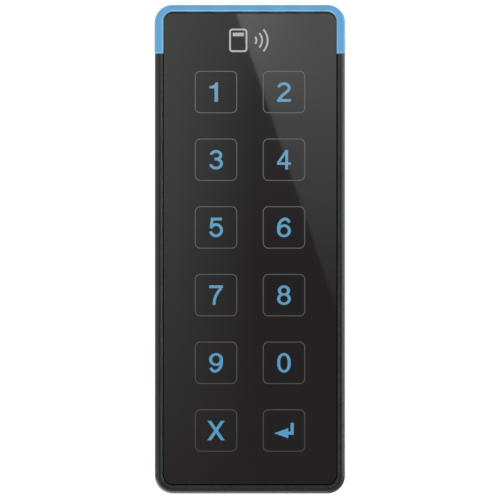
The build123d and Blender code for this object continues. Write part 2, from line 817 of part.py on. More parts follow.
# ================================================================ antenna over the main board
coil_level = bobbin_level + bobbin_wall
coil_front = coil_level + coil_thickness
with BuildPart() as antenna_bobbin:
    with BuildSketch(layer(bobbin_level, 0, coil_rise)):
        RectangleRounded(coil_width, coil_height, coil_radius)
        flat_width = coil_width - 2 * coil_band - 2 * bobbin_wall - 2.4
        flat_height = coil_height - 2 * coil_band - 2 * bobbin_wall - 2.4
        RectangleRounded(flat_width, flat_height, coil_radius - coil_band - 1.2, mode=Mode.SUBTRACT)
    extrude(amount=bobbin_wall)
    with BuildSketch(layer(coil_level, 0, coil_rise)):
        for inset, mode in ((coil_band, Mode.ADD), (coil_band + bobbin_wall, Mode.SUBTRACT)):
            RectangleRounded(coil_width - 2 * inset, coil_height - 2 * inset, coil_radius - inset, mode=mode)
    extrude(amount=coil_thickness)
    foot_x = coil_width / 2 - coil_band - 1.4
    foot_rise = coil_height / 2 - coil_radius - 2.0
    with BuildSketch(layer(board_front, 0, coil_rise)):
        with Locations(*mirrored(foot_x, foot_rise, -foot_rise)):
            Circle(1.2)
    extrude(amount=bobbin_level - board_front)
save(antenna_bobbin, "antenna_bobbin")

with BuildPart() as antenna_coil:
    turn_pitch = coil_band / (coil_turns + 0.3)
    for i in range(coil_turns):
        outer = turn_pitch * (i + 0.25)
        inner = outer + turn_pitch * 0.86
        with BuildSketch(layer(coil_level, 0, coil_rise)):
            for inset, mode in ((outer, Mode.ADD), (inner, Mode.SUBTRACT)):
                turn_height = coil_height - 2 * inset
                RectangleRounded(coil_width - 2 * inset, turn_height, coil_radius - inset, mode=mode)
        extrude(amount=coil_thickness - 0.4)
save(antenna_coil, "antenna_coil")

with BuildPart() as ferrite_sheet:
    with BuildSketch(layer(bobbin_level - ferrite_thickness, 0, coil_rise)):
        RectangleRounded(coil_width - 1.0, coil_height - 1.0, coil_radius - 0.5)
        with Locations(*mirrored(foot_x, foot_rise, -foot_rise)):
            Circle(1.2 + sliding_clearance, mode=Mode.SUBTRACT)
    extrude(amount=ferrite_thickness)
save(ferrite_sheet, "ferrite_sheet")

# ================================================================ rear cover and its seal
cover_width = pocket_width - 2 * cover_gap
cover_top = pocket_top - cover_gap
cover_bottom = boss_top + cover_bottom_clearance
cover_middle = (cover_top + cover_bottom) / 2
cover_height = cover_top - cover_bottom
cover_radius = pocket_radius - cover_gap
guide_end = plate_thickness + tamper_guide_gap
with BuildPart() as rear_cover:
    with BuildSketch(layer(cover_level, 0, cover_middle)):
        RectangleRounded(cover_width, cover_height, cover_radius)
    extrude(amount=cover_thickness)
    with BuildSketch(layer(guide_end, tamper_x, tamper_rise)):
        Circle(tamper_guide_radius)
    extrude(amount=cover_level - guide_end)
    with BuildSketch(layer(guide_end + tamper_guide_floor, tamper_x, tamper_rise)):
        Circle(tamper_flange_radius + sliding_clearance)
    extrude(amount=cover_inner_level - guide_end - tamper_guide_floor, mode=Mode.SUBTRACT)
    with BuildSketch(layer(guide_end, tamper_x, tamper_rise)):
        Circle(tamper_stem_radius + sliding_clearance)
    extrude(amount=tamper_guide_floor, mode=Mode.SUBTRACT)
    with BuildSketch(layer(cover_level)):
        with Locations(*cover_pillars):
            Circle(cover_screw_hole)
        with Locations((0, cable_rise)):
            Circle(grommet_seat_radius)
    extrude(amount=cover_thickness, mode=Mode.SUBTRACT)
save(rear_cover, "rear_cover")

with BuildPart() as cover_gasket:
    with BuildSketch(layer(cover_inner_level, 0, cover_middle)):
        for inset, mode in ((0.0, Mode.ADD), (gasket_width, Mode.SUBTRACT)):
            ring_height = cover_height - 2 * inset
            RectangleRounded(cover_width - 2 * inset, ring_height, cover_radius - inset, mode=mode)
    extrude(amount=gasket_height)
save(cover_gasket, "cover_gasket")

screw_set(
    "cover_screws", cover_pillars, cover_level, cover_head_radius, cover_head_height, cover_screw_radius,
    cover_screw_length, 1.0,
)

with BuildPart() as cable_grommet:
    for level, thickness, radius in (
        (cover_level - grommet_flange, grommet_flange, grommet_flange_radius),
        (cover_level, cover_thickness, grommet_seat_radius),
        (cover_inner_level, grommet_flange, grommet_flange_radius),
    ):
        with BuildSketch(layer(level, 0, cable_rise)):
            Circle(radius)
            Circle(cable_radius, mode=Mode.SUBTRACT)
        extrude(amount=thickness)
save(cable_grommet, "cable_grommet")

# ================================================================ tamper switch
tip_level = plate_thickness + tamper_tip_gap
flange_level = guide_end + tamper_guide_floor + tamper_travel
flange_front = flange_level + tamper_flange_thickness
switch_rear = board_level - tamper_body_height
with BuildPart() as tamper_plunger:
    for level, end, radius in (
        (tip_level, flange_level, tamper_stem_radius),
        (flange_level, flange_front, tamper_flange_radius),
        (flange_front, switch_rear - tamper_tip_gap, tamper_pin_radius),
    ):
        with BuildSketch(layer(level, tamper_x, tamper_rise)):
            Circle(radius)
        extrude(amount=end - level)
    fillet(tamper_plunger.faces().sort_by(Axis.Y)[-1].edges(), 0.5)
save(tamper_plunger, "tamper_plunger")

spring_radius = (tamper_pin_radius + tamper_flange_radius) / 2
spring_length = switch_rear - flange_front - 1.5 * spring_wire
spring_pitch = spring_length / spring_turns
with BuildPart() as tamper_spring:
    with BuildLine() as coil_line:
        Helix(
            pitch=spring_pitch,
            height=spring_length,
            radius=spring_radius,
            center=(tamper_x, -flange_front - spring_wire * 0.75, tamper_rise),
            direction=(0, -1, 0),
        )
    with BuildSketch(Plane(origin=coil_line.line @ 0, z_dir=coil_line.line % 0)):
        Circle(spring_wire / 2)
    sweep()
save(tamper_spring, "tamper_spring")

with BuildPart() as tamper_switch:
    with BuildSketch(layer(switch_rear, tamper_x, tamper_rise)):
        Rectangle(tamper_body_size, tamper_body_size)
    extrude(amount=tamper_body_height)
    chamfer(tamper_switch.edges().filter_by(Axis.Y), 0.5)
save(tamper_switch, "tamper_switch")

# ================================================================ mounting plate on the wall
plate_width = pocket_width - 2 * plate_side_gap
plate_top = hinge_rise + plate_top_above_hinge
plate_bottom = lug_bottom
plate_middle = (plate_top + plate_bottom) / 2
plate_height = plate_top - plate_bottom
notch_width = hook_width + 2 * ear_gap
corner_holes = [
    (x * corner_hole_across / 2, rise * corner_hole_down / 2) for x in (-1, 1) for rise in (-1, 1)
]

with BuildPart() as mounting_plate:
    with BuildSketch(layer(0, 0, plate_middle)):
        RectangleRounded(plate_width, plate_height, plate_radius)
    extrude(amount=plate_thickness)
    with BuildSketch(layer(plate_thickness, 0, plate_middle)):
        RectangleRounded(plate_width, plate_height, plate_radius)
        tray_width = plate_width - 2 * rim_width
        tray_height = plate_height - 2 * rim_width
        RectangleRounded(tray_width, tray_height, plate_radius - rim_width, mode=Mode.SUBTRACT)
    extrude(amount=rim_height)

    # lug with the thread of the lock screw
    with BuildSketch(layer(0, 0, lug_bottom + lug_height / 2)):
        Rectangle(lug_width, lug_height)
    extrude(amount=lug_depth)
    with BuildSketch(floor_plane(lug_bottom, lock_level)):
        Circle(insert_radius)
    extrude(amount=insert_length, mode=Mode.SUBTRACT)
    with BuildSketch(floor_plane(lug_bottom + insert_length, lock_level)):
        Circle(lock_screw_radius + slip_gap)
    extrude(amount=lug_height - insert_length, mode=Mode.SUBTRACT)

    # notches for the hooks, and an ear on each side of every notch with a bar between them
    with BuildSketch(layer(0)):
        for x in hook_middles:
            with Locations((x, plate_top - (plate_top - hinge_rise + hook_notch_drop) / 2)):
                Rectangle(notch_width, plate_top - hinge_rise + hook_notch_drop)
    extrude(amount=plate_thickness + rim_height, mode=Mode.SUBTRACT)
    for x in hook_middles:
        for side in (-1, 1):
            ear_x = x + side * (notch_width + ear_thickness) / 2 - ear_thickness / 2
            with BuildSketch(hinge_plane(ear_x)):
                Circle(ear_radius)
                with Locations((hinge_level / 2, (plate_top_above_hinge - 2 * ear_radius) / 2)):
                    Rectangle(hinge_level, plate_top_above_hinge + 2 * ear_radius)
            extrude(amount=ear_thickness)
        with BuildSketch(hinge_plane(x - notch_width / 2)):
            Circle(hinge_bar_radius)
        extrude(amount=notch_width)

    # wall fixings: corner screws, two slots for a wall box, and the cable's way through
    with BuildSketch(layer(0)):
        with Locations(*corner_holes):
            Circle(corner_hole_radius)
        with Locations((0, box_slot_spacing / 2), (0, -box_slot_spacing / 2)):
            SlotOverall(box_slot_length, box_slot_width, rotation=90)
        with Locations((0, cable_rise)):
            Circle(cable_aperture_radius)
    extrude(amount=plate_thickness, mode=Mode.SUBTRACT)
    sinks = [
        edge
        for edge in mounting_plate.edges().filter_by(GeomType.CIRCLE)
        if abs(edge.radius - corner_hole_radius) < 0.01 and abs(edge.center().Y + plate_thickness) < 0.01
    ]
    chamfer(sinks, corner_sink_radius - corner_hole_radius, plate_thickness * 0.6)
save(mounting_plate, "mounting_plate")

with BuildPart() as lock_insert:
    with BuildSketch(floor_plane(lug_bottom, lock_level)):
        Circle(insert_radius)
        Circle(lock_screw_radius + lock_bore_clearance, mode=Mode.SUBTRACT)
    extrude(amount=insert_length)
save(lock_insert, "lock_insert")

# ================================================================ lock screw and its washer
washer_top = web_bottom - lock_washer_gap
head_top = washer_top - lock_washer_thickness
with BuildPart() as screw_washer:
    with BuildSketch(floor_plane(head_top, lock_level)):
        Circle(lock_washer_radius)
        Circle(lock_screw_radius + lock_bore_clearance, mode=Mode.SUBTRACT)
    extrude(amount=lock_washer_thickness)
save(screw_washer, "screw_washer")

with BuildPart() as security_screw:
    with BuildSketch(floor_plane(head_top - lock_head_height, lock_level)):
        Circle(lock_head_radius)
    extrude(amount=lock_head_height)
    fillet(security_screw.faces().sort_by(Axis.Z)[0].edges(), 0.4)
    with BuildSketch(floor_plane(head_top, lock_level)):
        Circle(lock_screw_radius)
    extrude(amount=lock_screw_reach)
    chamfer(security_screw.faces().sort_by(Axis.Z)[-1].edges(), 0.4)
    with BuildSketch(floor_plane(head_top - lock_head_height, lock_level)):
        Circle(drive_radius)
        with PolarLocations(drive_radius, 6):
            Circle(drive_radius * 0.28)
        Circle(drive_pin_radius, mode=Mode.SUBTRACT)
    extrude(amount=drive_depth, mode=Mode.SUBTRACT)
save(security_screw, "security_screw")
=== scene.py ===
"""Keypad access reader: the finishes, small fittings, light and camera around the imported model.

Everything is in metres, in the model's own frame: the wall is the plane Y = 0, the keypad faces -Y and +Z is up.
"""

from __future__ import annotations

import logging
import math
from dataclasses import dataclass, field
from enum import Enum
from typing import Any, Callable, Iterable, Sequence

import bpy
from mathutils import Matrix, Vector

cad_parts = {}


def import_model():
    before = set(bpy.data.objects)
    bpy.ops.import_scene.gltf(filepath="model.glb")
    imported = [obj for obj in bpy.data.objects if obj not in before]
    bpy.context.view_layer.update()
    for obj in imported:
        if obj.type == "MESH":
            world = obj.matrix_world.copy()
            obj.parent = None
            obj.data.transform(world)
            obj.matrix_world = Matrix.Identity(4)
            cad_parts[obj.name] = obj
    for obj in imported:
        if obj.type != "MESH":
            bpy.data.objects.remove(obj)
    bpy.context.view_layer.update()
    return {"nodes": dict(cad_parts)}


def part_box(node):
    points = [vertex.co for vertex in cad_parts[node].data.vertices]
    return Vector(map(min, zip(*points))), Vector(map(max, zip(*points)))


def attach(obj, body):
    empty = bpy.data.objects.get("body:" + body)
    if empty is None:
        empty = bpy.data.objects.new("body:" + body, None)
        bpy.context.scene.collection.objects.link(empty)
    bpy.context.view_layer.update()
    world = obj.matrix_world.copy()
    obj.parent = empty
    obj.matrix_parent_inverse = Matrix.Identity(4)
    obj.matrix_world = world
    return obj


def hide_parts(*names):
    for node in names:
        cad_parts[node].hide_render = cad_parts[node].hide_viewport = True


log = logging.getLogger("reader")

Colour = tuple[float, float, float]
MM = 0.001
WHITE: Colour = (1.0, 1.0, 1.0)
DUST: Colour = (0.34, 0.33, 0.31)


def rgba(colour: Colour) -> tuple[float, float, float, float]:
    """Return a colour with full alpha."""
    return (*colour, 1.0)


# ---------------------------------------------------------------------------------------------- node building
class Bench:
    """Adds and links nodes in one shader tree."""

    def __init__(self, tree: bpy.types.NodeTree) -> None:
        """Start on a tree.

        Args:
            tree: the node tree of a material, a world or a group.
        """
        self.tree = tree

    def put(self, kind: str, settings: dict[str, Any] | None = None, **inputs: Any) -> bpy.types.Node:
        """Add a node.

        Args:
            kind: the node's type, without the ShaderNode prefix.
            settings: attributes to set on the node itself.
            inputs: values or sockets for its inputs, named with underscores, or _0, _1 and so on by number.

        Returns:
            The new node.
        """
        node = self.tree.nodes.new("ShaderNode" + kind)
        for name, value in (settings or {}).items():
            setattr(node, name, value)
        for name, value in inputs.items():
            key: int | str = int(name[1:]) if name[0] == "_" else name.replace("_", " ")
            self.feed(node.inputs[key], value)
        return node

    def feed(self, socket: bpy.types.NodeSocket, value: Any) -> None:
        """Set an input to a value, or link it when the value is a socket.

        Args:
            socket: the input.
            value: the number, colour or socket that it gets.
        """
        if isinstance(value, bpy.types.NodeSocket):
            self.tree.links.new(value, socket)
        else:
            socket.default_value = value

    def math(self, operation: str, first: Any, second: Any = 0.0, clamp: bool = False) -> bpy.types.NodeSocket:
        """Return the result of a Math node."""
        return self.put("Math", {"operation": operation, "use_clamp": clamp}, _0=first, _1=second).outputs[0]

    def span(self, value: Any, low: float, high: float, to_low: float = 0.0, to_high: float = 1.0,
             smooth: bool = False) -> bpy.types.NodeSocket:
        """Return a value remapped from one span to another and held inside it.

        Args:
            value: the number to remap.
            low: where the span starts.
            high: where the span ends.
            to_low: the result at the start.
            to_high: the result at the end.
            smooth: whether the ends ease in and out.

        Returns:
            The remapped number.
        """
        kind = "SMOOTHSTEP" if smooth else "LINEAR"
        return self.put("MapRange", {"interpolation_type": kind, "clamp": True}, _0=value, _1=low, _2=high,
                        _3=to_low, _4=to_high).outputs[0]

    def mix(self, share: Any, first: Any, second: Any) -> bpy.types.NodeSocket:
        """Return two colours mixed by a share."""
        return self.put("Mix", {"data_type": "RGBA", "clamp_factor": True}, _0=share, _6=first, _7=second).outputs[2]

    def noise(self, vector: Any, scale: float, detail: float = 2.0, rough: float = 0.5) -> bpy.types.NodeSocket:
        """Return the value of a noise texture."""
        return self.put("TexNoise", None, Vector=vector, Scale=scale, Detail=detail, Roughness=rough).outputs[0]

    def place(self) -> bpy.types.NodeSocket:
        """Return the object coordinates."""
        return self.put("TexCoord").outputs["Object"]

    def axes(self, vector: Any) -> tuple[bpy.types.NodeSocket, bpy.types.NodeSocket, bpy.types.NodeSocket]:
        """Return the three parts of a vector."""
        node = self.put("SeparateXYZ", None, _0=vector)
        return node.outputs[0], node.outputs[1], node.outputs[2]

    def bump(self, height: Any, strength: float, distance: float) -> bpy.types.NodeSocket:
        """Return the normal of a Bump node."""
        return self.put("Bump", None, Strength=strength, Distance=distance, Height=height).outputs[0]

    def facing(self, axis: int) -> bpy.types.NodeSocket:
        """Return how far the surface faces along an axis, from -1 to 1."""
        return self.axes(self.put("NewGeometry").outputs["Normal"])[axis]

    def scaled(self, colour: Any, share: Any) -> bpy.types.NodeSocket:
        """Return a colour multiplied by a share."""
        return self.put("VectorMath", {"operation": "SCALE"}, _0=colour, Scale=share).outputs[0]


class Effect(Enum):
    """The shared shader groups."""

    GRAIN = "moulded_grain"
    WEAR = "edge_wear"
    DUST = "settled_dust"
    BRUSH = "brushed_lines"
    LAMINATE = "board_laminate"
    PINS = "ejector_marks"


class EffectShelf:
    """Builds each shared shader group once and places it where a material asks for it."""

    def __init__(self) -> None:
        """Start with no group and no material made."""
        self.made: dict[Effect, bpy.types.NodeTree] = {}
        self.finished: dict[str, bpy.types.Material] = {}
        self.makers: dict[Effect, Callable[[Bench], None]] = {
            Effect.GRAIN: self._grain,
            Effect.WEAR: self._wear,
            Effect.DUST: self._dust,
            Effect.BRUSH: self._brush,
            Effect.LAMINATE: self._laminate,
            Effect.PINS: self._pins,
        }

    def use(self, bench: Bench, effect: Effect, **inputs: Any) -> bpy.types.Node:
        """Place a group in a material.

        Args:
            bench: the material's bench.
            effect: the group to place.
            inputs: values or sockets for the group's inputs.

        Returns:
            The group node, with its outputs by name.
        """
        if effect not in self.made:
            tree = bpy.data.node_groups.new(effect.value, "ShaderNodeTree")
            self.made[effect] = tree
            self.makers[effect](Bench(tree))
        node = bench.tree.nodes.new("ShaderNodeGroup")
        node.node_tree = self.made[effect]
        for name, value in inputs.items():
            bench.feed(node.inputs[name.replace("_", " ")], value)
        return node

    @staticmethod
    def _sockets(bench: Bench, inputs: Sequence[tuple[str, str, Any]],
                 outputs: Sequence[tuple[str, str]]) -> tuple[bpy.types.Node, bpy.types.Node]:
        """Give a group its named sockets.

        Args:
            bench: the group's bench.
            inputs: name, kind and default of each input.
            outputs: name and kind of each output.

        Returns:
            The group's input node and output node.
        """
        for name, kind, default in inputs:
            socket = bench.tree.interface.new_socket(name, in_out="INPUT", socket_type="NodeSocket" + kind)
            if default is not None:
                socket.default_value = default
        for name, kind in outputs:
            bench.tree.interface.new_socket(name, in_out="OUTPUT", socket_type="NodeSocket" + kind)
        return bench.tree.nodes.new("NodeGroupInput"), bench.tree.nodes.new("NodeGroupOutput")

    def _grain(self, bench: Bench) -> None:
        """Fine spark-eroded grain of a mould, with a slow change of tone over the wall.

        Args:
            bench: the group's bench.
        """
        given, result = self._sockets(
            bench, [("Vector", "Vector", None), ("Scale", "Float", 2200.0)], [("Height", "Float"), ("Tone", "Float")])
        vector, scale = given.outputs["Vector"], given.outputs["Scale"]
        pits = bench.put("TexVoronoi", {"feature": "SMOOTH_F1"}, Vector=vector, Scale=scale, Smoothness=0.6)
        fine = bench.put("TexNoise", None, Vector=vector, Scale=bench.math("MULTIPLY", scale, 1.7), Detail=3.0)
        height = bench.math("ADD", bench.math("MULTIPLY", pits.outputs["Distance"], 0.7),
                            bench.math("MULTIPLY", fine.outputs[0], 0.5))
        slow = bench.noise(vector, 38.0, 3.0, 0.55)
        bench.feed(result.inputs["Height"], height)
        bench.feed(result.inputs["Tone"], bench.span(slow, 0.3, 0.7))

    def _wear(self, bench: Bench) -> None:
        """Mask that is bright on convex edges and broken up by noise.

        Args:
            bench: the group's bench.
        """
        given, result = self._sockets(
            bench, [("Vector", "Vector", None), ("Radius", "Float", 0.0004), ("Amount", "Float", 0.5)],
            [("Mask", "Float")])
        soft = bench.put("Bevel", {"samples": 4}, Radius=given.outputs["Radius"])
        flat = bench.put("NewGeometry").outputs["Normal"]
        turned = bench.put("VectorMath", {"operation": "DOT_PRODUCT"}, _0=soft.outputs[0], _1=flat).outputs["Value"]
        edge = bench.span(turned, 0.995, 0.9)
        broken = bench.span(bench.noise(given.outputs["Vector"], 420.0, 4.0, 0.6), 0.4, 0.62)
        mask = bench.math("MULTIPLY", bench.math("MULTIPLY", edge, broken), given.outputs["Amount"], clamp=True)
        bench.feed(result.inputs["Mask"], mask)

    def _dust(self, bench: Bench) -> None:
        """Mask of thin dust that lies more on faces that look up.

        Args:
            bench: the group's bench.
        """
        given, result = self._sockets(
            bench, [("Vector", "Vector", None), ("Amount", "Float", 0.3)], [("Mask", "Float")])
        facing = bench.span(bench.facing(2), -0.2, 1.0, 0.15, 1.0)
        cloud = bench.span(bench.noise(given.outputs["Vector"], 90.0, 6.0, 0.7), 0.42, 0.72)
        speck = bench.span(bench.noise(given.outputs["Vector"], 1500.0, 2.0, 0.6), 0.6, 0.75)
        both = bench.math("ADD", bench.math("MULTIPLY", cloud, 0.6), bench.math("MULTIPLY", speck, 0.5))
        mask = bench.math("MULTIPLY", bench.math("MULTIPLY", both, facing), given.outputs["Amount"], clamp=True)
        bench.feed(result.inputs["Mask"], mask)

    def _brush(self, bench: Bench) -> None:
        """Fine lines of a rolled or turned metal, with small scratches.

        Args:
            bench: the group's bench.
        """
        given, result = self._sockets(
            bench, [("Vector", "Vector", None), ("Stretch", "Vector", (1.0, 1.0, 12.0))],
            [("Height", "Float"), ("Tone", "Float")])
        long = bench.put("VectorMath", {"operation": "DIVIDE"}, _0=given.outputs["Vector"],
                         _1=given.outputs["Stretch"]).outputs[0]
        lines = bench.noise(long, 6500.0, 3.0, 0.6)
        blotch = bench.noise(given.outputs["Vector"], 260.0, 3.0, 0.5)
        bench.feed(result.inputs["Height"], lines)
        bench.feed(result.inputs["Tone"], bench.math("ADD", bench.math("MULTIPLY", lines, 0.6),
                                                     bench.math("MULTIPLY", blotch, 0.4)))

    def _pins(self, bench: Bench) -> None:
        """Round marks of the mould's ejector pins, and the faint flow lines of the plastic between them.

        Args:
            bench: the group's bench.
        """
        given, result = self._sockets(
            bench, [("Vector", "Vector", None), ("Pitch", "Float", 0.02), ("Radius", "Float", 0.002)],
            [("Ring", "Float"), ("Flow", "Float")])
        x, _y, z = bench.axes(given.outputs["Vector"])
        pitch, radius = given.outputs["Pitch"], given.outputs["Radius"]
        across = bench.math("PINGPONG", x, pitch)
        along = bench.math("PINGPONG", bench.math("ADD", z, 0.006), pitch)
        from_pin = bench.math("SQRT", bench.math("ADD", bench.math("POWER", across, 2.0),
                                                 bench.math("POWER", along, 2.0)))
        off = bench.math("ABSOLUTE", bench.math("SUBTRACT", from_pin, radius))
        bench.feed(result.inputs["Ring"], bench.span(off, 0.00004, 0.00022, 1.0, 0.0, smooth=True))
        pulled = bench.put("VectorMath", {"operation": "MULTIPLY"}, _0=given.outputs["Vector"], _1=(1.0, 1.0, 0.22))
        flow = bench.put("TexWave", {"wave_type": "BANDS", "bands_direction": "X"}, Vector=pulled.outputs[0],
                         Scale=16.0, Distortion=7.0, Detail=3.0)
        bench.feed(result.inputs["Flow"], flow.outputs["Fac"])

    def _laminate(self, bench: Bench) -> None:
        """Copper tracks and pads that show through the solder mask of a board, over a faint glass weave.

        Args:
            bench: the group's bench.
        """
        given, result = self._sockets(bench, [("Vector", "Vector", None)], [("Track", "Float"), ("Weave", "Float")])
        vector = given.outputs["Vector"]
        bricks = bench.put("TexVoronoi", {"feature": "F1", "distance": "CHEBYCHEV"}, Vector=vector, Scale=170.0,
                           Randomness=0.85)
        x, _y, z = bench.axes(vector)
        cell = bench.axes(bricks.outputs["Color"])[0]
        down = bench.math("PINGPONG", bench.math("MULTIPLY", x, 1000.0), 0.45)
        across = bench.math("PINGPONG", bench.math("MULTIPLY", z, 1000.0), 0.45)
        pick = bench.math("GREATER_THAN", cell, 0.5)
        lines = bench.math("ADD", bench.math("MULTIPLY", down, pick),
                           bench.math("MULTIPLY", across, bench.math("SUBTRACT", 1.0, pick)))
        used = bench.math("GREATER_THAN", bench.axes(bricks.outputs["Color"])[1], 0.35)
        track = bench.math("MULTIPLY", bench.span(lines, 0.2, 0.25), used)
        weave = bench.math("MULTIPLY", bench.math("SINE", bench.math("MULTIPLY", x, 9000.0)),
                           bench.math("SINE", bench.math("MULTIPLY", z, 9000.0)))
        bench.feed(result.inputs["Track"], track)
        bench.feed(result.inputs["Weave"], bench.span(weave, -1.0, 1.0))


# ---------------------------------------------------------------------------------------------- finishes
@dataclass(frozen=True)
class Finish:
    """What every finish has: a name, a base colour and a roughness."""

    name: str
    colour: Colour
    roughness: float = 0.5

    def material(self, shelf: EffectShelf) -> bpy.types.Material:
        """Return the finish as a material, built on first use.

        Args:
            shelf: the shared shader groups.

        Returns:
            The material.
        """
        if self.name in shelf.finished:
            return shelf.finished[self.name]
        material = bpy.data.materials.new("finish_" + self.name)
        shelf.finished[self.name] = material
        material.use_nodes = True
        tree = material.node_tree
        tree.nodes.clear()
        bench = Bench(tree)
        shader = bench.put("BsdfPrincipled")
        bench.feed(bench.put("OutputMaterial").inputs["Surface"], shader.outputs[0])
        shader.inputs["Base Color"].default_value = rgba(self.colour)
        shader.inputs["Roughness"].default_value = self.roughness
        self.dress(bench, shader, shelf)
        material.diffuse_color = rgba(self.colour)
        return material

    def dress(self, bench: Bench, shader: bpy.types.Node, shelf: EffectShelf) -> None:
        """Add the finish's own nodes."""
        raise NotImplementedError


@dataclass(frozen=True)
class Moulded(Finish):
    """Textured moulded plastic with worn edges and a little dust."""

    grain: float = 2200.0
    depth: float = 0.000012
    strength: float = 0.5
    wear: float = 0.4
    worn: Colour = (0.16, 0.17, 0.18)
    dust: float = 0.12
    specular: float = 0.5
    pins: float = 0.0

    def dress(self, bench: Bench, shader: bpy.types.Node, shelf: EffectShelf) -> None:
        """Grain in the normal and the roughness, wear on the edges, dust on top.

        Args:
            bench: the material's bench.
            shader: the material's Principled shader.
            shelf: the shared shader groups.
        """
        place = bench.place()
        grain = shelf.use(bench, Effect.GRAIN, Vector=place, Scale=self.grain)
        wear = shelf.use(bench, Effect.WEAR, Vector=place, Radius=0.00035, Amount=self.wear)
        dust = shelf.use(bench, Effect.DUST, Vector=place, Amount=self.dust)
        darker = tuple(c * 0.82 for c in self.colour)
        tone = bench.mix(grain.outputs["Tone"], rgba(darker), rgba(self.colour))
        speckle = bench.mix(bench.span(grain.outputs["Height"], 0.35, 0.75, 0.0, 0.35), tone,
                            rgba(tuple(c * 1.5 for c in self.colour)))
        height = grain.outputs["Height"]
        if self.pins:
            marks = shelf.use(bench, Effect.PINS, Vector=place, Pitch=self.pins, Radius=0.0021)
            flat = bench.span(bench.math("ABSOLUTE", bench.facing(1)), 0.9, 0.99)
            ring = bench.math("MULTIPLY", marks.outputs["Ring"], flat)
            speckle = bench.mix(bench.math("MULTIPLY", marks.outputs["Flow"], 0.25), speckle, rgba(self.worn))
            speckle = bench.mix(bench.math("MULTIPLY", ring, 0.35), speckle, rgba(self.worn))
            height = bench.math("ADD", height, bench.math("MULTIPLY", ring, 2.5))
        edged = bench.mix(wear.outputs["Mask"], speckle, rgba(self.worn))
        bench.feed(shader.inputs["Base Color"], bench.mix(dust.outputs["Mask"], edged, rgba(DUST)))
        rough = bench.span(grain.outputs["Height"], 0.3, 0.9, self.roughness - 0.06, self.roughness + 0.1)
        bench.feed(shader.inputs["Roughness"], rough)
        bench.feed(shader.inputs["Normal"], bench.bump(height, self.strength, self.depth))
        shader.inputs["Specular IOR Level"].default_value = self.specular


@dataclass(frozen=True)
class TouchGloss(Finish):
    """Black acrylic with a hard clear front, faint haze and the lightest finger marks."""

    haze: Colour = (0.0038, 0.0028, 0.0030)

    def dress(self, bench: Bench, shader: bpy.types.Node, shelf: EffectShelf) -> None:
        """Finger marks in the roughness, dust specks, and a very slight waviness of the sheet.

        Args:
            bench: the material's bench.
            shader: the material's Principled shader.
            shelf: the shared shader groups.
        """
        place = bench.place()
        smear = bench.span(bench.noise(place, 46.0, 4.0, 0.6), 0.45, 0.75)
        ridge = bench.noise(place, 900.0, 2.0, 0.5)
        marks = bench.math("MULTIPLY", smear, bench.span(ridge, 0.4, 0.7))
        rough = bench.math("ADD", self.roughness, bench.math("MULTIPLY", marks, 0.02))
        dust = shelf.use(bench, Effect.DUST, Vector=place, Amount=0.012)
        bench.feed(shader.inputs["Roughness"], rough)
        bench.feed(shader.inputs["Base Color"],
                   bench.mix(dust.outputs["Mask"], bench.mix(smear, rgba(self.colour), rgba(self.haze)),
                             rgba((0.25, 0.24, 0.23))))
        wave = bench.noise(place, 14.0, 1.0, 0.4)
        bench.feed(shader.inputs["Normal"], bench.bump(wave, 0.02, 0.0001))
        shader.inputs["IOR"].default_value = 1.49


@dataclass(frozen=True)
class LitPlastic(Finish):
    """Translucent coloured plastic with lamps behind it, with a painted highlight in a paler colour on its rounded
    edges.
    """

    # edge: colour of the painted highlight on the rounded edges
    edge: Colour = (0.080, 0.152, 0.206)
    glow: float = 1.15
    # mask: black ink on the feet's front faces, also painted shade for the dark gap beside the panel
    mask: Colour = (0.003, 0.005, 0.007)
    gap_shade_half: float = 0.0215
    gap_shade_top: float = 0.07309

    def dress(self, bench: Bench, shader: bpy.types.Node, shelf: EffectShelf) -> None:
        """Painted highlight in a paler colour on the rounded edges, a lamp's soft pool behind each foot, black ink on
        the feet that is also painted shade for the gap beside the panel, and a faint grain.

        Args:
            bench: the material's bench.
            shader: the material's Principled shader.
            shelf: the shared shader groups.
        """
        place = bench.place()
        x, _y, z = bench.axes(place)
        # Painted highlight: the paler edge colour is mixed in where the bevelled normal turns away from the front.
        turned = bench.put("Bevel", {"samples": 6}, Radius=0.0009).outputs[0]
        facing = bench.math("ABSOLUTE", bench.axes(turned)[1])
        rim = bench.span(facing, 0.98, 0.7, 0.0, 1.0, smooth=True)
        pool = bench.math("PINGPONG", bench.math("ADD", x, 0.0043), 0.0043)
        lamp = bench.span(pool, 0.0, 0.0043, 0.9, 1.08, smooth=True)
        grain = shelf.use(bench, Effect.GRAIN, Vector=place, Scale=1600.0)
        body = bench.mix(rim, rgba(self.colour), rgba(self.edge))
        tint_and_painted_light = bench.mix(bench.span(grain.outputs["Tone"], 0.0, 1.0, 0.0, 0.12), body, rgba((0.06, 0.17, 0.28)))
        # Black ink on the front faces of the feet, also painted shade for the gap between the bar and the panel.
        ink_and_painted_shade = bench.math("MULTIPLY", bench.math("LESS_THAN", bench.math("ABSOLUTE", x), self.gap_shade_half),
                         bench.math("LESS_THAN", z, self.gap_shade_top))
        front = bench.math("LESS_THAN", bench.facing(1), -0.5)
        tint_and_painted_light = bench.mix(bench.math("MULTIPLY", ink_and_painted_shade, front), tint_and_painted_light, rgba(self.mask))
        bench.feed(shader.inputs["Base Color"], tint_and_painted_light)
        bench.feed(shader.inputs["Emission Color"], bench.scaled(tint_and_painted_light, bench.math("MULTIPLY", lamp, self.glow)))
        shader.inputs["Emission Strength"].default_value = 1.0
        bench.feed(shader.inputs["Normal"], bench.bump(grain.outputs["Height"], 0.15, 0.000006))


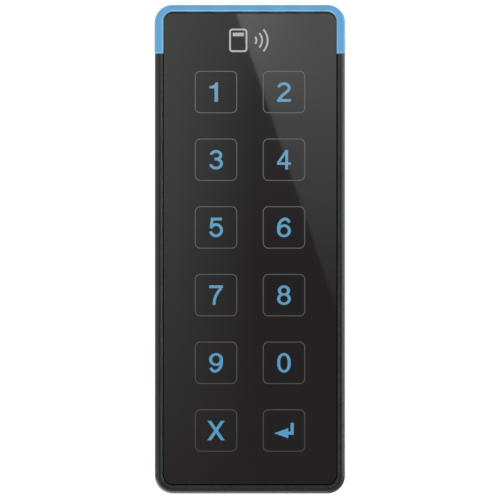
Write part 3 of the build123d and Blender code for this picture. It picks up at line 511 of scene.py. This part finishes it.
@dataclass(frozen=True)
class LitInk(Finish):
    """Window or ink of one flat colour, with painted light and shade that leave it darker towards the foot of the
    panel, and may glow.
    """

    # low: the print's colour at the foot of the panel, darkened as painted shade
    low: Colour = (0.1, 0.1, 0.1)
    glow: float = 0.0
    top: float = 0.075
    bottom: float = -0.075

    def dress(self, bench: Bench, shader: bpy.types.Node, shelf: EffectShelf) -> None:
        """Painted light and shade: fade from the low colour at the foot of the panel to the full colour at its top.

        Args:
            bench: the material's bench.
            shader: the material's Principled shader.
            shelf: the shared shader groups; not used here.
        """
        place = bench.place()
        z = bench.axes(place)[2]
        tone = bench.mix(bench.span(z, self.bottom, self.top), rgba(self.low), rgba(self.colour))
        patchy = bench.span(bench.noise(place, 2600.0, 2.0, 0.5), 0.25, 0.75, 0.94, 1.04)
        # The print colour with its painted light and shade, broken up a little by patchy noise.
        ink_and_painted_shade = bench.scaled(tone, patchy)
        bench.feed(shader.inputs["Base Color"], ink_and_painted_shade)
        bench.feed(shader.inputs["Roughness"], bench.span(patchy, 0.94, 1.04, self.roughness, self.roughness + 0.06))
        if self.glow:
            bench.feed(shader.inputs["Emission Color"], bench.scaled(ink_and_painted_shade, self.glow))
            shader.inputs["Emission Strength"].default_value = 1.0


@dataclass(frozen=True)
class Metal(Finish):
    """Rolled, turned or plated metal."""

    stretch: Colour = (1.0, 1.0, 12.0)
    second: Colour = (0.4, 0.4, 0.4)
    strength: float = 0.15

    def dress(self, bench: Bench, shader: bpy.types.Node, shelf: EffectShelf) -> None:
        """Fine lines in the normal and the roughness, and a blotchy second tone.

        Args:
            bench: the material's bench.
            shader: the material's Principled shader.
            shelf: the shared shader groups.
        """
        place = bench.place()
        brush = shelf.use(bench, Effect.BRUSH, Vector=place, Stretch=self.stretch)
        tone = bench.span(brush.outputs["Tone"], 0.35, 0.65)
        bench.feed(shader.inputs["Base Color"], bench.mix(tone, rgba(self.colour), rgba(self.second)))
        bench.feed(shader.inputs["Roughness"], bench.span(tone, 0.0, 1.0, self.roughness - 0.07, self.roughness + 0.1))
        bench.feed(shader.inputs["Normal"], bench.bump(brush.outputs["Height"], self.strength, 0.000008))
        shader.inputs["Metallic"].default_value = 1.0


@dataclass(frozen=True)
class Laminate(Finish):
    """Circuit board: solder mask over copper tracks and a glass weave."""

    track: Colour = (0.05, 0.22, 0.09)
    raw: Colour = (0.30, 0.27, 0.15)

    def dress(self, bench: Bench, shader: bpy.types.Node, shelf: EffectShelf) -> None:
        """Tracks on the two faces and bare laminate on the cut edges.

        Args:
            bench: the material's bench.
            shader: the material's Principled shader.
            shelf: the shared shader groups.
        """
        place = bench.place()
        made = shelf.use(bench, Effect.LAMINATE, Vector=place)
        face = bench.span(bench.math("ABSOLUTE", bench.facing(1)), 0.4, 0.6)
        mask = bench.mix(made.outputs["Track"], rgba(self.colour), rgba(self.track))
        woven = bench.mix(bench.span(made.outputs["Weave"], 0.0, 1.0, 0.0, 0.12), mask, rgba((0.1, 0.3, 0.12)))
        fibre = bench.mix(bench.noise(place, 1800.0, 3.0, 0.6), rgba(self.raw), rgba((0.5, 0.47, 0.3)))
        bench.feed(shader.inputs["Base Color"], bench.mix(face, fibre, woven))
        bench.feed(shader.inputs["Normal"], bench.bump(made.outputs["Track"], 0.4, 0.00003))


@dataclass(frozen=True)
class Soft(Finish):
    """Rubber, foam and other dull soft matter."""

    scale: float = 900.0
    bloom: Colour = (0.08, 0.08, 0.08)

    def dress(self, bench: Bench, shader: bpy.types.Node, shelf: EffectShelf) -> None:
        """A pale bloom in patches and a fine skin.

        Args:
            bench: the material's bench.
            shader: the material's Principled shader.
            shelf: the shared shader groups.
        """
        place = bench.place()
        dust = shelf.use(bench, Effect.DUST, Vector=place, Amount=0.35)
        skin = bench.noise(place, self.scale, 4.0, 0.65)
        bench.feed(shader.inputs["Base Color"], bench.mix(dust.outputs["Mask"], rgba(self.colour), rgba(self.bloom)))
        bench.feed(shader.inputs["Roughness"], bench.span(skin, 0.3, 0.7, self.roughness - 0.1, self.roughness + 0.08))
        bench.feed(shader.inputs["Normal"], bench.bump(skin, 0.35, 0.00002))


# ---------------------------------------------------------------------------------------------- the reader
HOUSING = Moulded("housing_plastic", (0.0040, 0.0062, 0.0064), 0.34, worn=(0.04, 0.045, 0.046), dust=0.04,
                  specular=0.33)
PLATE = Moulded("plate_plastic", (0.020, 0.021, 0.023), 0.5, grain=1500.0, worn=(0.06, 0.062, 0.066), pins=0.019)
COVER = Moulded("cover_plastic", (0.026, 0.028, 0.030), 0.48, grain=1500.0, worn=(0.07, 0.072, 0.075), pins=0.015)
PANEL = TouchGloss("panel_black", (0.0042, 0.0032, 0.0036), 0.02)
BAR = LitPlastic("light_plastic", (0.028, 0.124, 0.240), 0.3)
# These prints carry painted light and shade: each is darker at the foot of the panel than at its top.
LEGEND = LitInk("legend_blue", (0.062, 0.170, 0.265), 0.25, low=(0.030, 0.138, 0.239), glow=0.5)
OUTLINE = LitInk("print_grey", (0.084, 0.080, 0.076), 0.35, low=(0.014, 0.013, 0.0125))
SYMBOL = LitInk("print_silver", (0.30, 0.30, 0.305), 0.3, low=(0.28, 0.28, 0.28))
TAPE = Soft("tape", (0.03, 0.03, 0.03), 0.8, scale=1400.0)
DIFFUSER = Moulded("diffuser", (0.72, 0.75, 0.76), 0.45, wear=0.0, dust=0.05, worn=(0.8, 0.8, 0.8))
BOARD = Laminate("board_green", (0.012, 0.075, 0.030), 0.28)
SCREW = Metal("screw_steel", (0.62, 0.61, 0.58), 0.28, second=(0.50, 0.49, 0.46))
STAINLESS = Metal("stainless", (0.60, 0.59, 0.57), 0.26, stretch=(12.0, 12.0, 1.0), second=(0.47, 0.46, 0.45))
BRASS = Metal("brass", (0.78, 0.56, 0.26), 0.3, stretch=(12.0, 12.0, 1.0), second=(0.62, 0.42, 0.18))
EPOXY = Moulded("chip_black", (0.018, 0.018, 0.019), 0.45, grain=3000.0, wear=0.2, dust=0.1)
CAN = Metal("can_metal", (0.72, 0.71, 0.68), 0.3, stretch=(14.0, 1.0, 1.0), second=(0.60, 0.59, 0.56))
FOIL = Metal("capacitor_metal", (0.80, 0.80, 0.80), 0.24, stretch=(1.0, 14.0, 1.0), second=(0.68, 0.68, 0.69))
CERAMIC = Soft("chip_tan", (0.36, 0.24, 0.14), 0.5, bloom=(0.55, 0.45, 0.33))
LENS = Moulded("lamp_yellow", (0.80, 0.62, 0.10), 0.3, grain=2500.0, wear=0.0, dust=0.02)
LAMP_CASE = Moulded("lamp_white", (0.78, 0.77, 0.72), 0.4, grain=2500.0, wear=0.0, dust=0.05)
VENT = Moulded("vent_dark", (0.02, 0.02, 0.02), 0.6, grain=2500.0, wear=0.0)
TIN = Metal("solder_tin", (0.70, 0.70, 0.68), 0.3, second=(0.50, 0.50, 0.50), strength=0.3)
NYLON_BLACK = Moulded("connector_plastic", (0.03, 0.03, 0.032), 0.4, grain=2600.0)
NYLON_PALE = Moulded("connector_white", (0.66, 0.63, 0.55), 0.4, grain=2600.0, wear=0.1, worn=(0.8, 0.78, 0.7))
COPPER = Metal("copper", (0.72, 0.30, 0.14), 0.3, stretch=(10.0, 1.0, 10.0), second=(0.55, 0.20, 0.09))
BOBBIN = Moulded("bobbin_plastic", (0.60, 0.58, 0.52), 0.45, grain=2400.0, wear=0.1, worn=(0.75, 0.73, 0.68))
FERRITE = Soft("ferrite", (0.045, 0.045, 0.048), 0.6, scale=1500.0)
RUBBER = Soft("rubber", (0.018, 0.018, 0.018), 0.7)
ACETAL = Moulded("plunger_plastic", (0.74, 0.74, 0.71), 0.35, grain=2600.0, wear=0.0)
SPRING = Metal("spring_steel", (0.56, 0.56, 0.56), 0.25, second=(0.44, 0.44, 0.45))

NODE_FINISH: dict[str, Finish] = {
    "housing": HOUSING, "light_bar": BAR, "front_panel": PANEL, "key_legends": LEGEND, "key_outlines": OUTLINE,
    "reader_symbol": SYMBOL, "panel_tape": TAPE, "light_guide": DIFFUSER, "touch_board": BOARD,
    "main_board": BOARD, "touch_board_screws": SCREW, "main_board_screws": SCREW, "cover_screws": SCREW,
    "security_screw": STAINLESS, "screw_washer": STAINLESS, "lock_insert": BRASS, "microcontroller": EPOXY,
    "reader_chip": EPOXY, "power_coil": EPOXY, "radio_module": CAN, "crystal": CAN, "capacitors": FOIL,
    "chip_parts": CERAMIC, "key_leds": LENS, "status_leds": LENS, "board_socket": NYLON_BLACK,
    "board_header": NYLON_BLACK, "tamper_switch": NYLON_BLACK, "buzzer": NYLON_BLACK,
    "cable_connector": NYLON_PALE, "antenna_coil": COPPER, "antenna_bobbin": BOBBIN, "ferrite_sheet": FERRITE,
    "rear_cover": COVER, "cover_gasket": RUBBER, "cable_grommet": RUBBER, "tamper_plunger": ACETAL,
    "tamper_spring": SPRING, "mounting_plate": PLATE,
}


@dataclass
class PackedNodes:
    """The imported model's own solids, which keep their shape and get their finish here."""

    nodes: dict[str, bpy.types.Object]
    shelf: EffectShelf
    finishes: dict[str, Finish] = field(default_factory=lambda: dict(NODE_FINISH))

    def dress(self) -> None:
        """Give every node the one material of its finish."""
        for name, node in sorted(self.nodes.items()):
            material = self.finishes[name].material(self.shelf)
            node.data.materials.clear()
            node.data.materials.append(material)
            log.info("node %s: %s", name, material.name)


# ---------------------------------------------------------------------------------------------- modelling by hand
FaceTest = Callable[[Vector, Vector], bool]


class Hand:
    """Models one piece: a primitive, faces picked by their place or normal, and operators on them."""

    def __init__(self, name: str, add: Callable[..., Any], **settings: Any) -> None:
        """Add the primitive with its place applied.

        Args:
            name: the piece's name.
            add: the primitive's operator.
            settings: the operator's settings.
        """
        if bpy.context.object and bpy.context.object.mode != "OBJECT":
            bpy.ops.object.mode_set(mode="OBJECT")
        bpy.ops.object.select_all(action="DESELECT")
        add(**settings)
        self.piece = bpy.context.object
        self.piece.name = self.piece.data.name = name
        bpy.ops.object.transform_apply(location=True, rotation=True, scale=True)

    def stretch(self, scale: tuple[float, float, float], about: Vector) -> None:
        """Scale the whole piece about a point."""
        self.pick_all()
        bpy.ops.transform.resize(value=scale, center_override=about)

    def pick(self, wanted: FaceTest) -> None:
        """Go to edit mode with only the wanted faces selected.

        Args:
            wanted: tells from a face's centre and normal whether it is wanted.
        """
        if self.piece.mode != "EDIT":
            bpy.ops.object.mode_set(mode="EDIT")
        bpy.ops.mesh.select_mode(type="FACE")
        bpy.ops.mesh.select_all(action="DESELECT")
        bpy.ops.object.mode_set(mode="OBJECT")
        for face in self.piece.data.polygons:
            face.select = wanted(face.center, face.normal)
        bpy.ops.object.mode_set(mode="EDIT")

    def pick_all(self) -> None:
        """Go to edit mode with everything selected, loose edges too."""
        if self.piece.mode != "EDIT":
            bpy.ops.object.mode_set(mode="EDIT")
        bpy.ops.mesh.select_all(action="SELECT")

    def push(self, move: tuple[float, float, float], scale: float = 1.0) -> None:
        """Extrude the picked faces by a move, then scale them about their middle.

        Args:
            move: the extrusion, in metres.
            scale: the size of the new faces against the old.
        """
        bpy.ops.mesh.extrude_region_move(TRANSFORM_OT_translate={"value": move})
        if scale != 1.0:
            bpy.ops.transform.resize(value=(scale, scale, scale))

    def inset(self, thickness: float) -> None:
        """Inset the picked faces."""
        bpy.ops.mesh.inset(thickness=thickness, depth=0.0, use_even_offset=True)

    def bevel_all(self, width: float) -> None:
        """Round the edges sharper than 30 degrees with a modifier, applied.

        Args:
            width: the rounding's width, in metres.
        """
        self.rest()
        rounding = self.piece.modifiers.new("rounding", "BEVEL")
        rounding.width = width
        rounding.segments = 2
        rounding.limit_method = "ANGLE"
        rounding.angle_limit = math.radians(30.0)
        bpy.ops.object.modifier_apply(modifier=rounding.name)

    def rest(self) -> None:
        """Go back to object mode with only this piece selected."""
        if bpy.context.object and bpy.context.object.mode != "OBJECT":
            bpy.ops.object.mode_set(mode="OBJECT")
        bpy.ops.object.select_all(action="DESELECT")
        self.piece.select_set(True)
        bpy.context.view_layer.objects.active = self.piece

    def outward(self) -> None:
        """Merge doubles and point every face outwards."""
        self.pick_all()
        bpy.ops.mesh.remove_doubles(threshold=1e-7)
        bpy.ops.mesh.normals_make_consistent(inside=False)
        self.rest()

    def repeat(self, places: Sequence[Matrix]) -> None:
        """Copy the piece to each place, each copy with its own mesh, and join the copies.

        Args:
            places: the copies' transforms.
        """
        self.rest()
        copies = []
        for place in places:
            twin = self.piece.copy()
            twin.data = self.piece.data.copy()
            bpy.context.scene.collection.objects.link(twin)
            twin.matrix_world = place
            copies.append(twin)
        name = self.piece.name
        bpy.data.objects.remove(self.piece)
        bpy.ops.object.select_all(action="DESELECT")
        for twin in copies:
            twin.select_set(True)
        bpy.context.view_layer.objects.active = copies[0]
        bpy.ops.object.join()
        bpy.ops.object.transform_apply(location=True, rotation=True, scale=True)
        self.piece = bpy.context.object
        self.piece.name = self.piece.data.name = name

    def finish(self, finishes: Sequence[Finish], shelf: EffectShelf, angle: float = 35.0) -> bpy.types.Object:
        """Give the piece its materials and smooth shading below a crease angle.

        Args:
            finishes: one finish per material slot.
            shelf: the shared shader groups and the finished materials.
            angle: the crease angle in degrees.

        Returns:
            The finished object.
        """
        self.rest()
        self.piece.data.materials.clear()
        for finish in finishes:
            self.piece.data.materials.append(finish.material(shelf))
        bpy.ops.object.shade_smooth_by_angle(angle=math.radians(angle))
        return self.piece


def at(x: float, level: float, z: float) -> Vector:
    """Return a point from millimetres, with its level counted from the wall."""
    return Vector((x * MM, -level * MM, z * MM))


def shift(x: float, z: float) -> Matrix:
    """Return a move along the wall, from millimetres."""
    return Matrix.Translation((x * MM, 0.0, z * MM))


@dataclass
class LockScrew:
    """The cut thread on the lock screw's shank."""

    radius: float = 1.47
    ridge: float = 0.075
    flank: float = 0.21
    pitch: float = 0.5
    low: float = -72.7
    turns: int = 12
    level: float = 3.0

    def build(self, shelf: EffectShelf) -> Iterable[bpy.types.Object]:
        """Wind a three-sided ridge up the shank with a Screw modifier.

        Args:
            shelf: the shared shader groups.

        Returns:
            The finished pieces, one by one.
        """
        hand = Hand("lock_screw_thread", bpy.ops.mesh.primitive_circle_add, vertices=3, radius=self.flank * MM,
                    fill_type="NOTHING", location=(self.radius * MM, 0.0, 0.0),
                    rotation=(math.pi / 2, -math.pi / 2, 0.0))
        hand.stretch((self.ridge / self.flank, 1.0, 1.0), Vector((self.radius * MM, 0.0, 0.0)))
        hand.rest()
        winding = hand.piece.modifiers.new("winding", "SCREW")
        winding.axis = "Z"
        winding.screw_offset = self.pitch * MM
        winding.iterations = self.turns
        winding.steps = winding.render_steps = 24
        winding.use_merge_vertices = True
        bpy.ops.object.modifier_apply(modifier=winding.name)
        bpy.ops.object.mode_set(mode="EDIT")
        bpy.ops.mesh.select_mode(type="EDGE")
        hand.pick_all()
        bpy.ops.mesh.fill_holes(sides=3)
        hand.outward()
        hand.piece.location = at(0.0, self.level, self.low)
        bpy.ops.object.transform_apply(location=True, rotation=True, scale=True)
        piece = hand.finish((STAINLESS,), shelf)
        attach(piece, "security_screw")
        yield piece


@dataclass
class ChipLegs:
    """Gull-wing legs on the four sides of the controller."""

    count: int = 10
    pitch: float = 0.65
    width: float = 0.26
    bends: tuple[tuple[float, float, float], ...] = ((0.0, -0.2, 1.0), (0.38, -0.16, 1.0), (0.04, -0.42, 0.92))

    def build(self, shelf: EffectShelf) -> Iterable[bpy.types.Object]:
        """Draw one leg out of the body's lower side, copy it round.

        Args:
            shelf: the shared shader groups.

        Returns:
            The finished pieces, one by one.
        """
        low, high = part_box("microcontroller")
        middle = (Vector(low) + Vector(high)) / 2
        start = Vector((middle.x, high[1] - 0.5 * MM, low[2] - 0.05 * MM))
        hand = Hand("controller_legs", bpy.ops.mesh.primitive_cube_add, size=self.width * MM, location=start)
        hand.stretch((1.0, 0.55, 0.6), start)
        hand.pick(lambda _centre, normal: normal.z < -0.9)
        for out, down, scale in self.bends:
            hand.push((0.0, out * MM, down * MM), scale)
        hand.bevel_all(0.02 * MM)
        side = [shift((i - (self.count - 1) / 2) * self.pitch, 0.0) for i in range(self.count)]
        turns = [Matrix.Translation(middle) @ Matrix.Rotation(math.pi / 2 * k, 4, "Y") @ Matrix.Translation(-middle)
                 for k in range(4)]
        hand.repeat([turn @ along for turn in turns for along in side])
        piece = hand.finish((TIN,), shelf)
        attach(piece, "reader")
        yield piece


@dataclass
class Capacitors:
    """Surface-mounted electrolytic capacitors: a black base and a can with a crimp near its foot."""

    radius: float = 1.9
    base: float = 0.45
    side: float = 3.9
    profile: tuple[tuple[float, float], ...] = (
        (0.12, 0.93), (0.14, 1.0), (0.12, 1.0 / 0.93), (1.95, 1.0), (0.16, 0.985), (0.1, 0.95))
    places: tuple[tuple[float, float], ...] = ((13.0, -17.0), (18.5, -17.0), (-13.0, -17.0))
    board: float = 11.4

    def build(self, shelf: EffectShelf) -> Iterable[bpy.types.Object]:
        """Raise the can in rings from a disc, and each base from a block.

        Args:
            shelf: the shared shader groups.

        Returns:
            The finished pieces, one by one.
        """
        places = [shift(x, z) for x, z in self.places]
        can = Hand("capacitor_cans", bpy.ops.mesh.primitive_cylinder_add, vertices=40, radius=self.radius * MM,
                   depth=0.3 * MM, location=at(0.0, self.board + self.base + 0.15, 0.0), rotation=(math.pi / 2, 0, 0))
        can.pick(lambda _centre, normal: normal.y < -0.9)
        for rise, scale in self.profile:
            can.push((0.0, -rise * MM, 0.0), scale)
        can.inset(0.22 * MM)
        can.push((0.0, 0.05 * MM, 0.0))
        can.outward()
        can.repeat(places)
        piece = can.finish((FOIL,), shelf)
        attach(piece, "reader")
        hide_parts("capacitors")
        yield piece
        middle = at(0.0, self.board + self.base / 2, 0.0)
        base = Hand("capacitor_bases", bpy.ops.mesh.primitive_cube_add, size=self.side * MM, location=middle)
        base.stretch((1.0, self.base / self.side, 1.0), middle)
        base.pick(lambda _centre, normal: normal.y < -0.9)
        base.inset(0.25 * MM)
        base.push((0.0, 0.12 * MM, 0.0))
        base.bevel_all(0.08 * MM)
        base.repeat(places)
        piece = base.finish((NYLON_BLACK,), shelf)
        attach(piece, "reader")
        yield piece


@dataclass
class Lamps:
    """Small lamps: a white case with a yellow well in its front."""

    node: str
    name: str
    width: float
    height: float
    columns: int
    rows: int
    depth: float = 0.6
    front: float = 17.5
    rim: float = 0.13
    well: float = 0.14

    @staticmethod
    def _spread(low: float, high: float, size: float, count: int) -> list[float]:
        """Return the middles of a row of lamps that fills the span from low to high."""
        first, last = low + size / 2, high - size / 2
        return [first + (last - first) * i / max(count - 1, 1) for i in range(count)]

    def places(self) -> list[Matrix]:
        """Return the lamps' places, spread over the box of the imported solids.

        Returns:
            The lamps' transforms.
        """
        low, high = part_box(self.node)
        across = self._spread(low[0], high[0], self.width * MM, self.columns)
        up = self._spread(low[2], high[2], self.height * MM, self.rows)
        return [Matrix.Translation((x, 0.0, z)) for x in across for z in up]

    def build(self, shelf: EffectShelf) -> Iterable[bpy.types.Object]:
        """Hollow a case from a block, and copy it to every place.

        Args:
            shelf: the shared shader groups.

        Returns:
            The finished pieces, one by one.
        """
        middle = at(0.0, self.front + self.depth / 2, 0.0)
        hand = Hand(self.name, bpy.ops.mesh.primitive_cube_add, size=self.width * MM, location=middle)
        hand.stretch((1.0, self.depth / self.width, self.height / self.width), middle)
        hand.bevel_all(0.05 * MM)
        hand.pick(lambda _centre, normal: normal.y < -0.95)
        hand.inset(self.rim * MM)
        hand.push((0.0, self.well * MM, 0.0), 0.9)
        hand.repeat(self.places())
        piece = hand.finish((LAMP_CASE, LENS), shelf)
        floor = -(self.front + self.depth - self.well / 2) * MM
        for face in piece.data.polygons:
            if face.normal.y < -0.9 and face.center.y > floor:
                face.material_index = 1
        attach(piece, "reader")
        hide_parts(self.node)
        yield piece


@dataclass
class SolderJoints:
    """Solder fillets with cut pin ends on the main board's wall side."""

    level: float = 9.8
    rows: tuple[tuple[float, int, float], ...] = ((-49.8, 8, 1.6), (-48.2, 8, 1.6), (-34.0, 6, 2.0))
    fillet: tuple[tuple[float, float], ...] = ((0.08, 0.78), (0.14, 0.72), (0.2, 0.8), (0.3, 1.0), (0.05, 0.7))

    def build(self, shelf: EffectShelf) -> Iterable[bpy.types.Object]:
        """Draw a fillet up from a ring in shrinking steps, copy it to the pins.

        Args:
            shelf: the shared shader groups.

        Returns:
            The finished pieces, one by one.
        """
        hand = Hand("solder_joints", bpy.ops.mesh.primitive_cylinder_add, vertices=14, radius=0.62 * MM,
                    depth=0.04 * MM, location=at(0.0, self.level - 0.02, 0.0), rotation=(math.pi / 2, 0, 0))
        hand.pick(lambda _centre, normal: normal.y > 0.9)
        for rise, scale in self.fillet:
            hand.push((0.0, rise * MM, 0.0), scale)
        hand.outward()
        hand.repeat([shift((i - (count - 1) / 2) * pitch, z) for z, count, pitch in self.rows for i in range(count)])
        piece = hand.finish((TIN,), shelf, 50.0)
        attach(piece, "reader")
        yield piece


@dataclass
class ShieldCan:
    """The radio module's shield: a drawn lid with a seam round it, and vents in its top."""

    wall: float = 0.12
    ledge: float = 0.35
    rounding: float = 0.1
    vent_radius: float = 0.42
    vent_pitch: float = 1.9

    def build(self, shelf: EffectShelf) -> Iterable[bpy.types.Object]:
        """Draw the lid up from the frame, inset its top and sink the vents.

        Args:
            shelf: the shared shader groups.

        Returns:
            The finished pieces, one by one.
        """
        low, high = (Vector(corner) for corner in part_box("radio_module"))
        middle = (low + high) / 2
        size = high - low
        hand = Hand("shield_can", bpy.ops.mesh.primitive_cube_add, size=size.x, location=middle)
        hand.stretch((1.0, size.y * 0.3 / size.x, size.z / size.x), middle)
        hand.pick_all()
        bpy.ops.transform.translate(value=(0.0, size.y * 0.35, 0.0))
        hand.pick(lambda _centre, normal: normal.y < -0.9)
        hand.inset(self.wall * MM)
        hand.push((0.0, -size.y * 0.62, 0.0))
        hand.inset(self.ledge * MM)
        hand.push((0.0, -size.y * 0.075, 0.0), 0.985)
        hand.bevel_all(self.rounding * MM)
        piece = hand.finish((CAN,), shelf)
        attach(piece, "reader")
        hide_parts("radio_module")
        yield piece
        vent = Hand("shield_vents", bpy.ops.mesh.primitive_cylinder_add, vertices=16,
                    radius=self.vent_radius * MM, depth=0.02 * MM, rotation=(math.pi / 2, 0, 0),
                    location=Vector((middle.x, low.y + 0.004 * MM, middle.z)))
        vent.pick(lambda _centre, normal: normal.y < -0.9)
        vent.inset(0.08 * MM)
        vent.push((0.0, 0.01 * MM, 0.0))
        vent.repeat([shift(i * self.vent_pitch, k * self.vent_pitch) for i in (-2, -1, 0, 1, 2) for k in (-1, 1)])
        piece = vent.finish((VENT,), shelf)
        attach(piece, "reader")
        yield piece


# ---------------------------------------------------------------------------------------------- studio
@dataclass
class Studio:
    """The floor, the soft light, the reflected card and the camera."""

    lens: float = 180.0
    sensor: float = 36.0
    view_height: float = 0.1534
    front: float = -0.022
    aim: tuple[float, float] = (0.0, -0.00016)
    floor_drop: float = 1.0
    floor_size: float = 16.0

    def build(self) -> None:
        """Set up the whole studio."""
        bpy.context.scene.view_settings.view_transform = "Standard"
        self._world()
        self._floor()
        self._lights()
        self._card()
        self._camera()

    def _world(self) -> None:
        """White all round, softer as a light than as a background."""
        world = bpy.data.worlds.new("studio")
        world.use_nodes = True
        world.node_tree.nodes.clear()
        bench = Bench(world.node_tree)
        seen = bench.put("LightPath").outputs["Is Camera Ray"]
        strength = bench.span(seen, 0.0, 1.0, 0.75, 1.05)
        back = bench.put("Background", None, Color=rgba(WHITE), Strength=strength)
        bench.feed(bench.put("OutputWorld").inputs["Surface"], back.outputs[0])
        bpy.context.scene.world = world

    def _floor(self) -> None:
        """A plain pale floor well below the reader."""
        bpy.ops.mesh.primitive_plane_add(size=self.floor_size, location=(0.0, -0.3, -self.floor_drop))
        floor = bpy.context.object
        floor.name = "studio_floor"
        material = bpy.data.materials.new("floor_paper")
        material.use_nodes = True
        shader = material.node_tree.nodes["Principled BSDF"]
        shader.inputs["Base Color"].default_value = rgba((0.86, 0.86, 0.85))
        shader.inputs["Roughness"].default_value = 0.8
        floor.data.materials.append(material)

    def _lights(self) -> None:
        """Soft lights: two in front, one behind, one at the side and one low, so that every edge shows."""
        for name, place, size, power in (
            ("key_light", (0.85, -0.95, 0.12), 0.8, 9.0),
            ("fill_light", (-1.0, -0.7, 0.3), 0.8, 4.0),
            ("back_light", (0.2, 1.0, 0.6), 0.9, 6.0),
            ("side_light", (0.8, 0.12, 0.05), 0.5, 5.5),
            ("low_light", (-0.15, -0.03, -0.27), 0.42, 2.6),
        ):
            data = bpy.data.lights.new(name, "AREA")
            data.size = size
            data.energy = power
            lamp = bpy.data.objects.new(name, data)
            lamp.location = place
            lamp.visible_camera = False
            lamp.rotation_euler = (-Vector(place)).to_track_quat("-Z", "Y").to_euler()
            bpy.context.scene.collection.objects.link(lamp)

    def _card(self) -> None:
        """The card behind the camera that the glossy panel mirrors, brighter above a slanting edge."""
        bpy.ops.mesh.primitive_plane_add(size=1.0, location=(0.0, -0.9, 0.0), rotation=(math.pi / 2, 0.0, 0.0))
        card = bpy.context.object
        card.name = "studio_card"
        material = bpy.data.materials.new("card_light")
        material.use_nodes = True
        material.node_tree.nodes.clear()
        bench = Bench(material.node_tree)
        x, z, _normal = bench.axes(bench.place())
        light = bench.put("Emission", None, Color=rgba(WHITE), Strength=self._card_light(bench, x, z))
        bench.feed(bench.put("OutputMaterial").inputs["Surface"], light.outputs[0])
        card.data.materials.append(material)
        card.visible_camera = False
        card.visible_diffuse = False
        card.visible_transmission = False
        card.visible_shadow = False

    def _card_light(self, bench: Bench, x: bpy.types.NodeSocket, z: bpy.types.NodeSocket) -> bpy.types.NodeSocket:
        """Return the card's strength over its face.

        Args:
            bench: the card material's bench.
            x: place across the card.
            z: place up the card.

        Returns:
            The strength socket.
        """
        left = bench.span(z, -0.155, 0.15, 0.36, 1.38)
        middle = bench.math("ADD", bench.span(z, -0.01, 0.085, 0.28, 0.48),
                            bench.span(z, 0.085, 0.16, 0.0, 0.42, smooth=True))
        across = bench.span(x, -0.0513, 0.004)
        dim = bench.math("ADD", bench.math("MULTIPLY", middle, across),
                         bench.math("MULTIPLY", left, bench.math("SUBTRACT", 1.0, across)))
        edge = bench.math("ADD", x, bench.math("MULTIPLY", z, 0.338))
        bright = bench.span(z, -0.052, 0.16, 0.28, 1.92)
        flare = bench.math("MULTIPLY", bench.span(z, 0.09, 0.155, 0.0, 0.95), bench.span(edge, 0.0436, 0.09, 1.0, 0.0))
        side = bench.span(edge, 0.0434, 0.0440)
        return bench.math("ADD", bench.math("MULTIPLY", bench.math("ADD", bright, flare), side),
                          bench.math("MULTIPLY", dim, bench.math("SUBTRACT", 1.0, side)))

    def _camera(self) -> None:
        """Straight in front, far off and long."""
        data = bpy.data.cameras.new("camera")
        data.lens = self.lens
        data.sensor_width = self.sensor
        data.clip_end = 20.0
        camera = bpy.data.objects.new("camera", data)
        distance = self.view_height * self.lens / self.sensor
        camera.location = (self.aim[0], self.front - distance, self.aim[1])
        camera.rotation_euler = (math.pi / 2, 0.0, 0.0)
        bpy.context.scene.collection.objects.link(camera)
        bpy.context.scene.camera = camera


def main() -> None:
    """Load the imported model, dress it, build the studio and note the sizes."""
    logging.basicConfig(level=logging.INFO, format="%(message)s")
    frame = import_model()
    bpy.ops.object.select_all(action="DESELECT")
    shelf = EffectShelf()
    PackedNodes(frame["nodes"], shelf).dress()
    fittings = (LockScrew(), ChipLegs(), Capacitors(), SolderJoints(), ShieldCan(),
                Lamps("key_leds", "key_lamps", 1.6, 0.8, 2, 6), Lamps("status_leds", "status_lamps", 3.2, 1.4, 5, 1))
    for fitting in fittings:
        for piece in fitting.build(shelf):
            log.info("piece %s: %d faces", piece.name, len(piece.data.polygons))
    Studio().build()


if __name__ == "__main__":
    main()
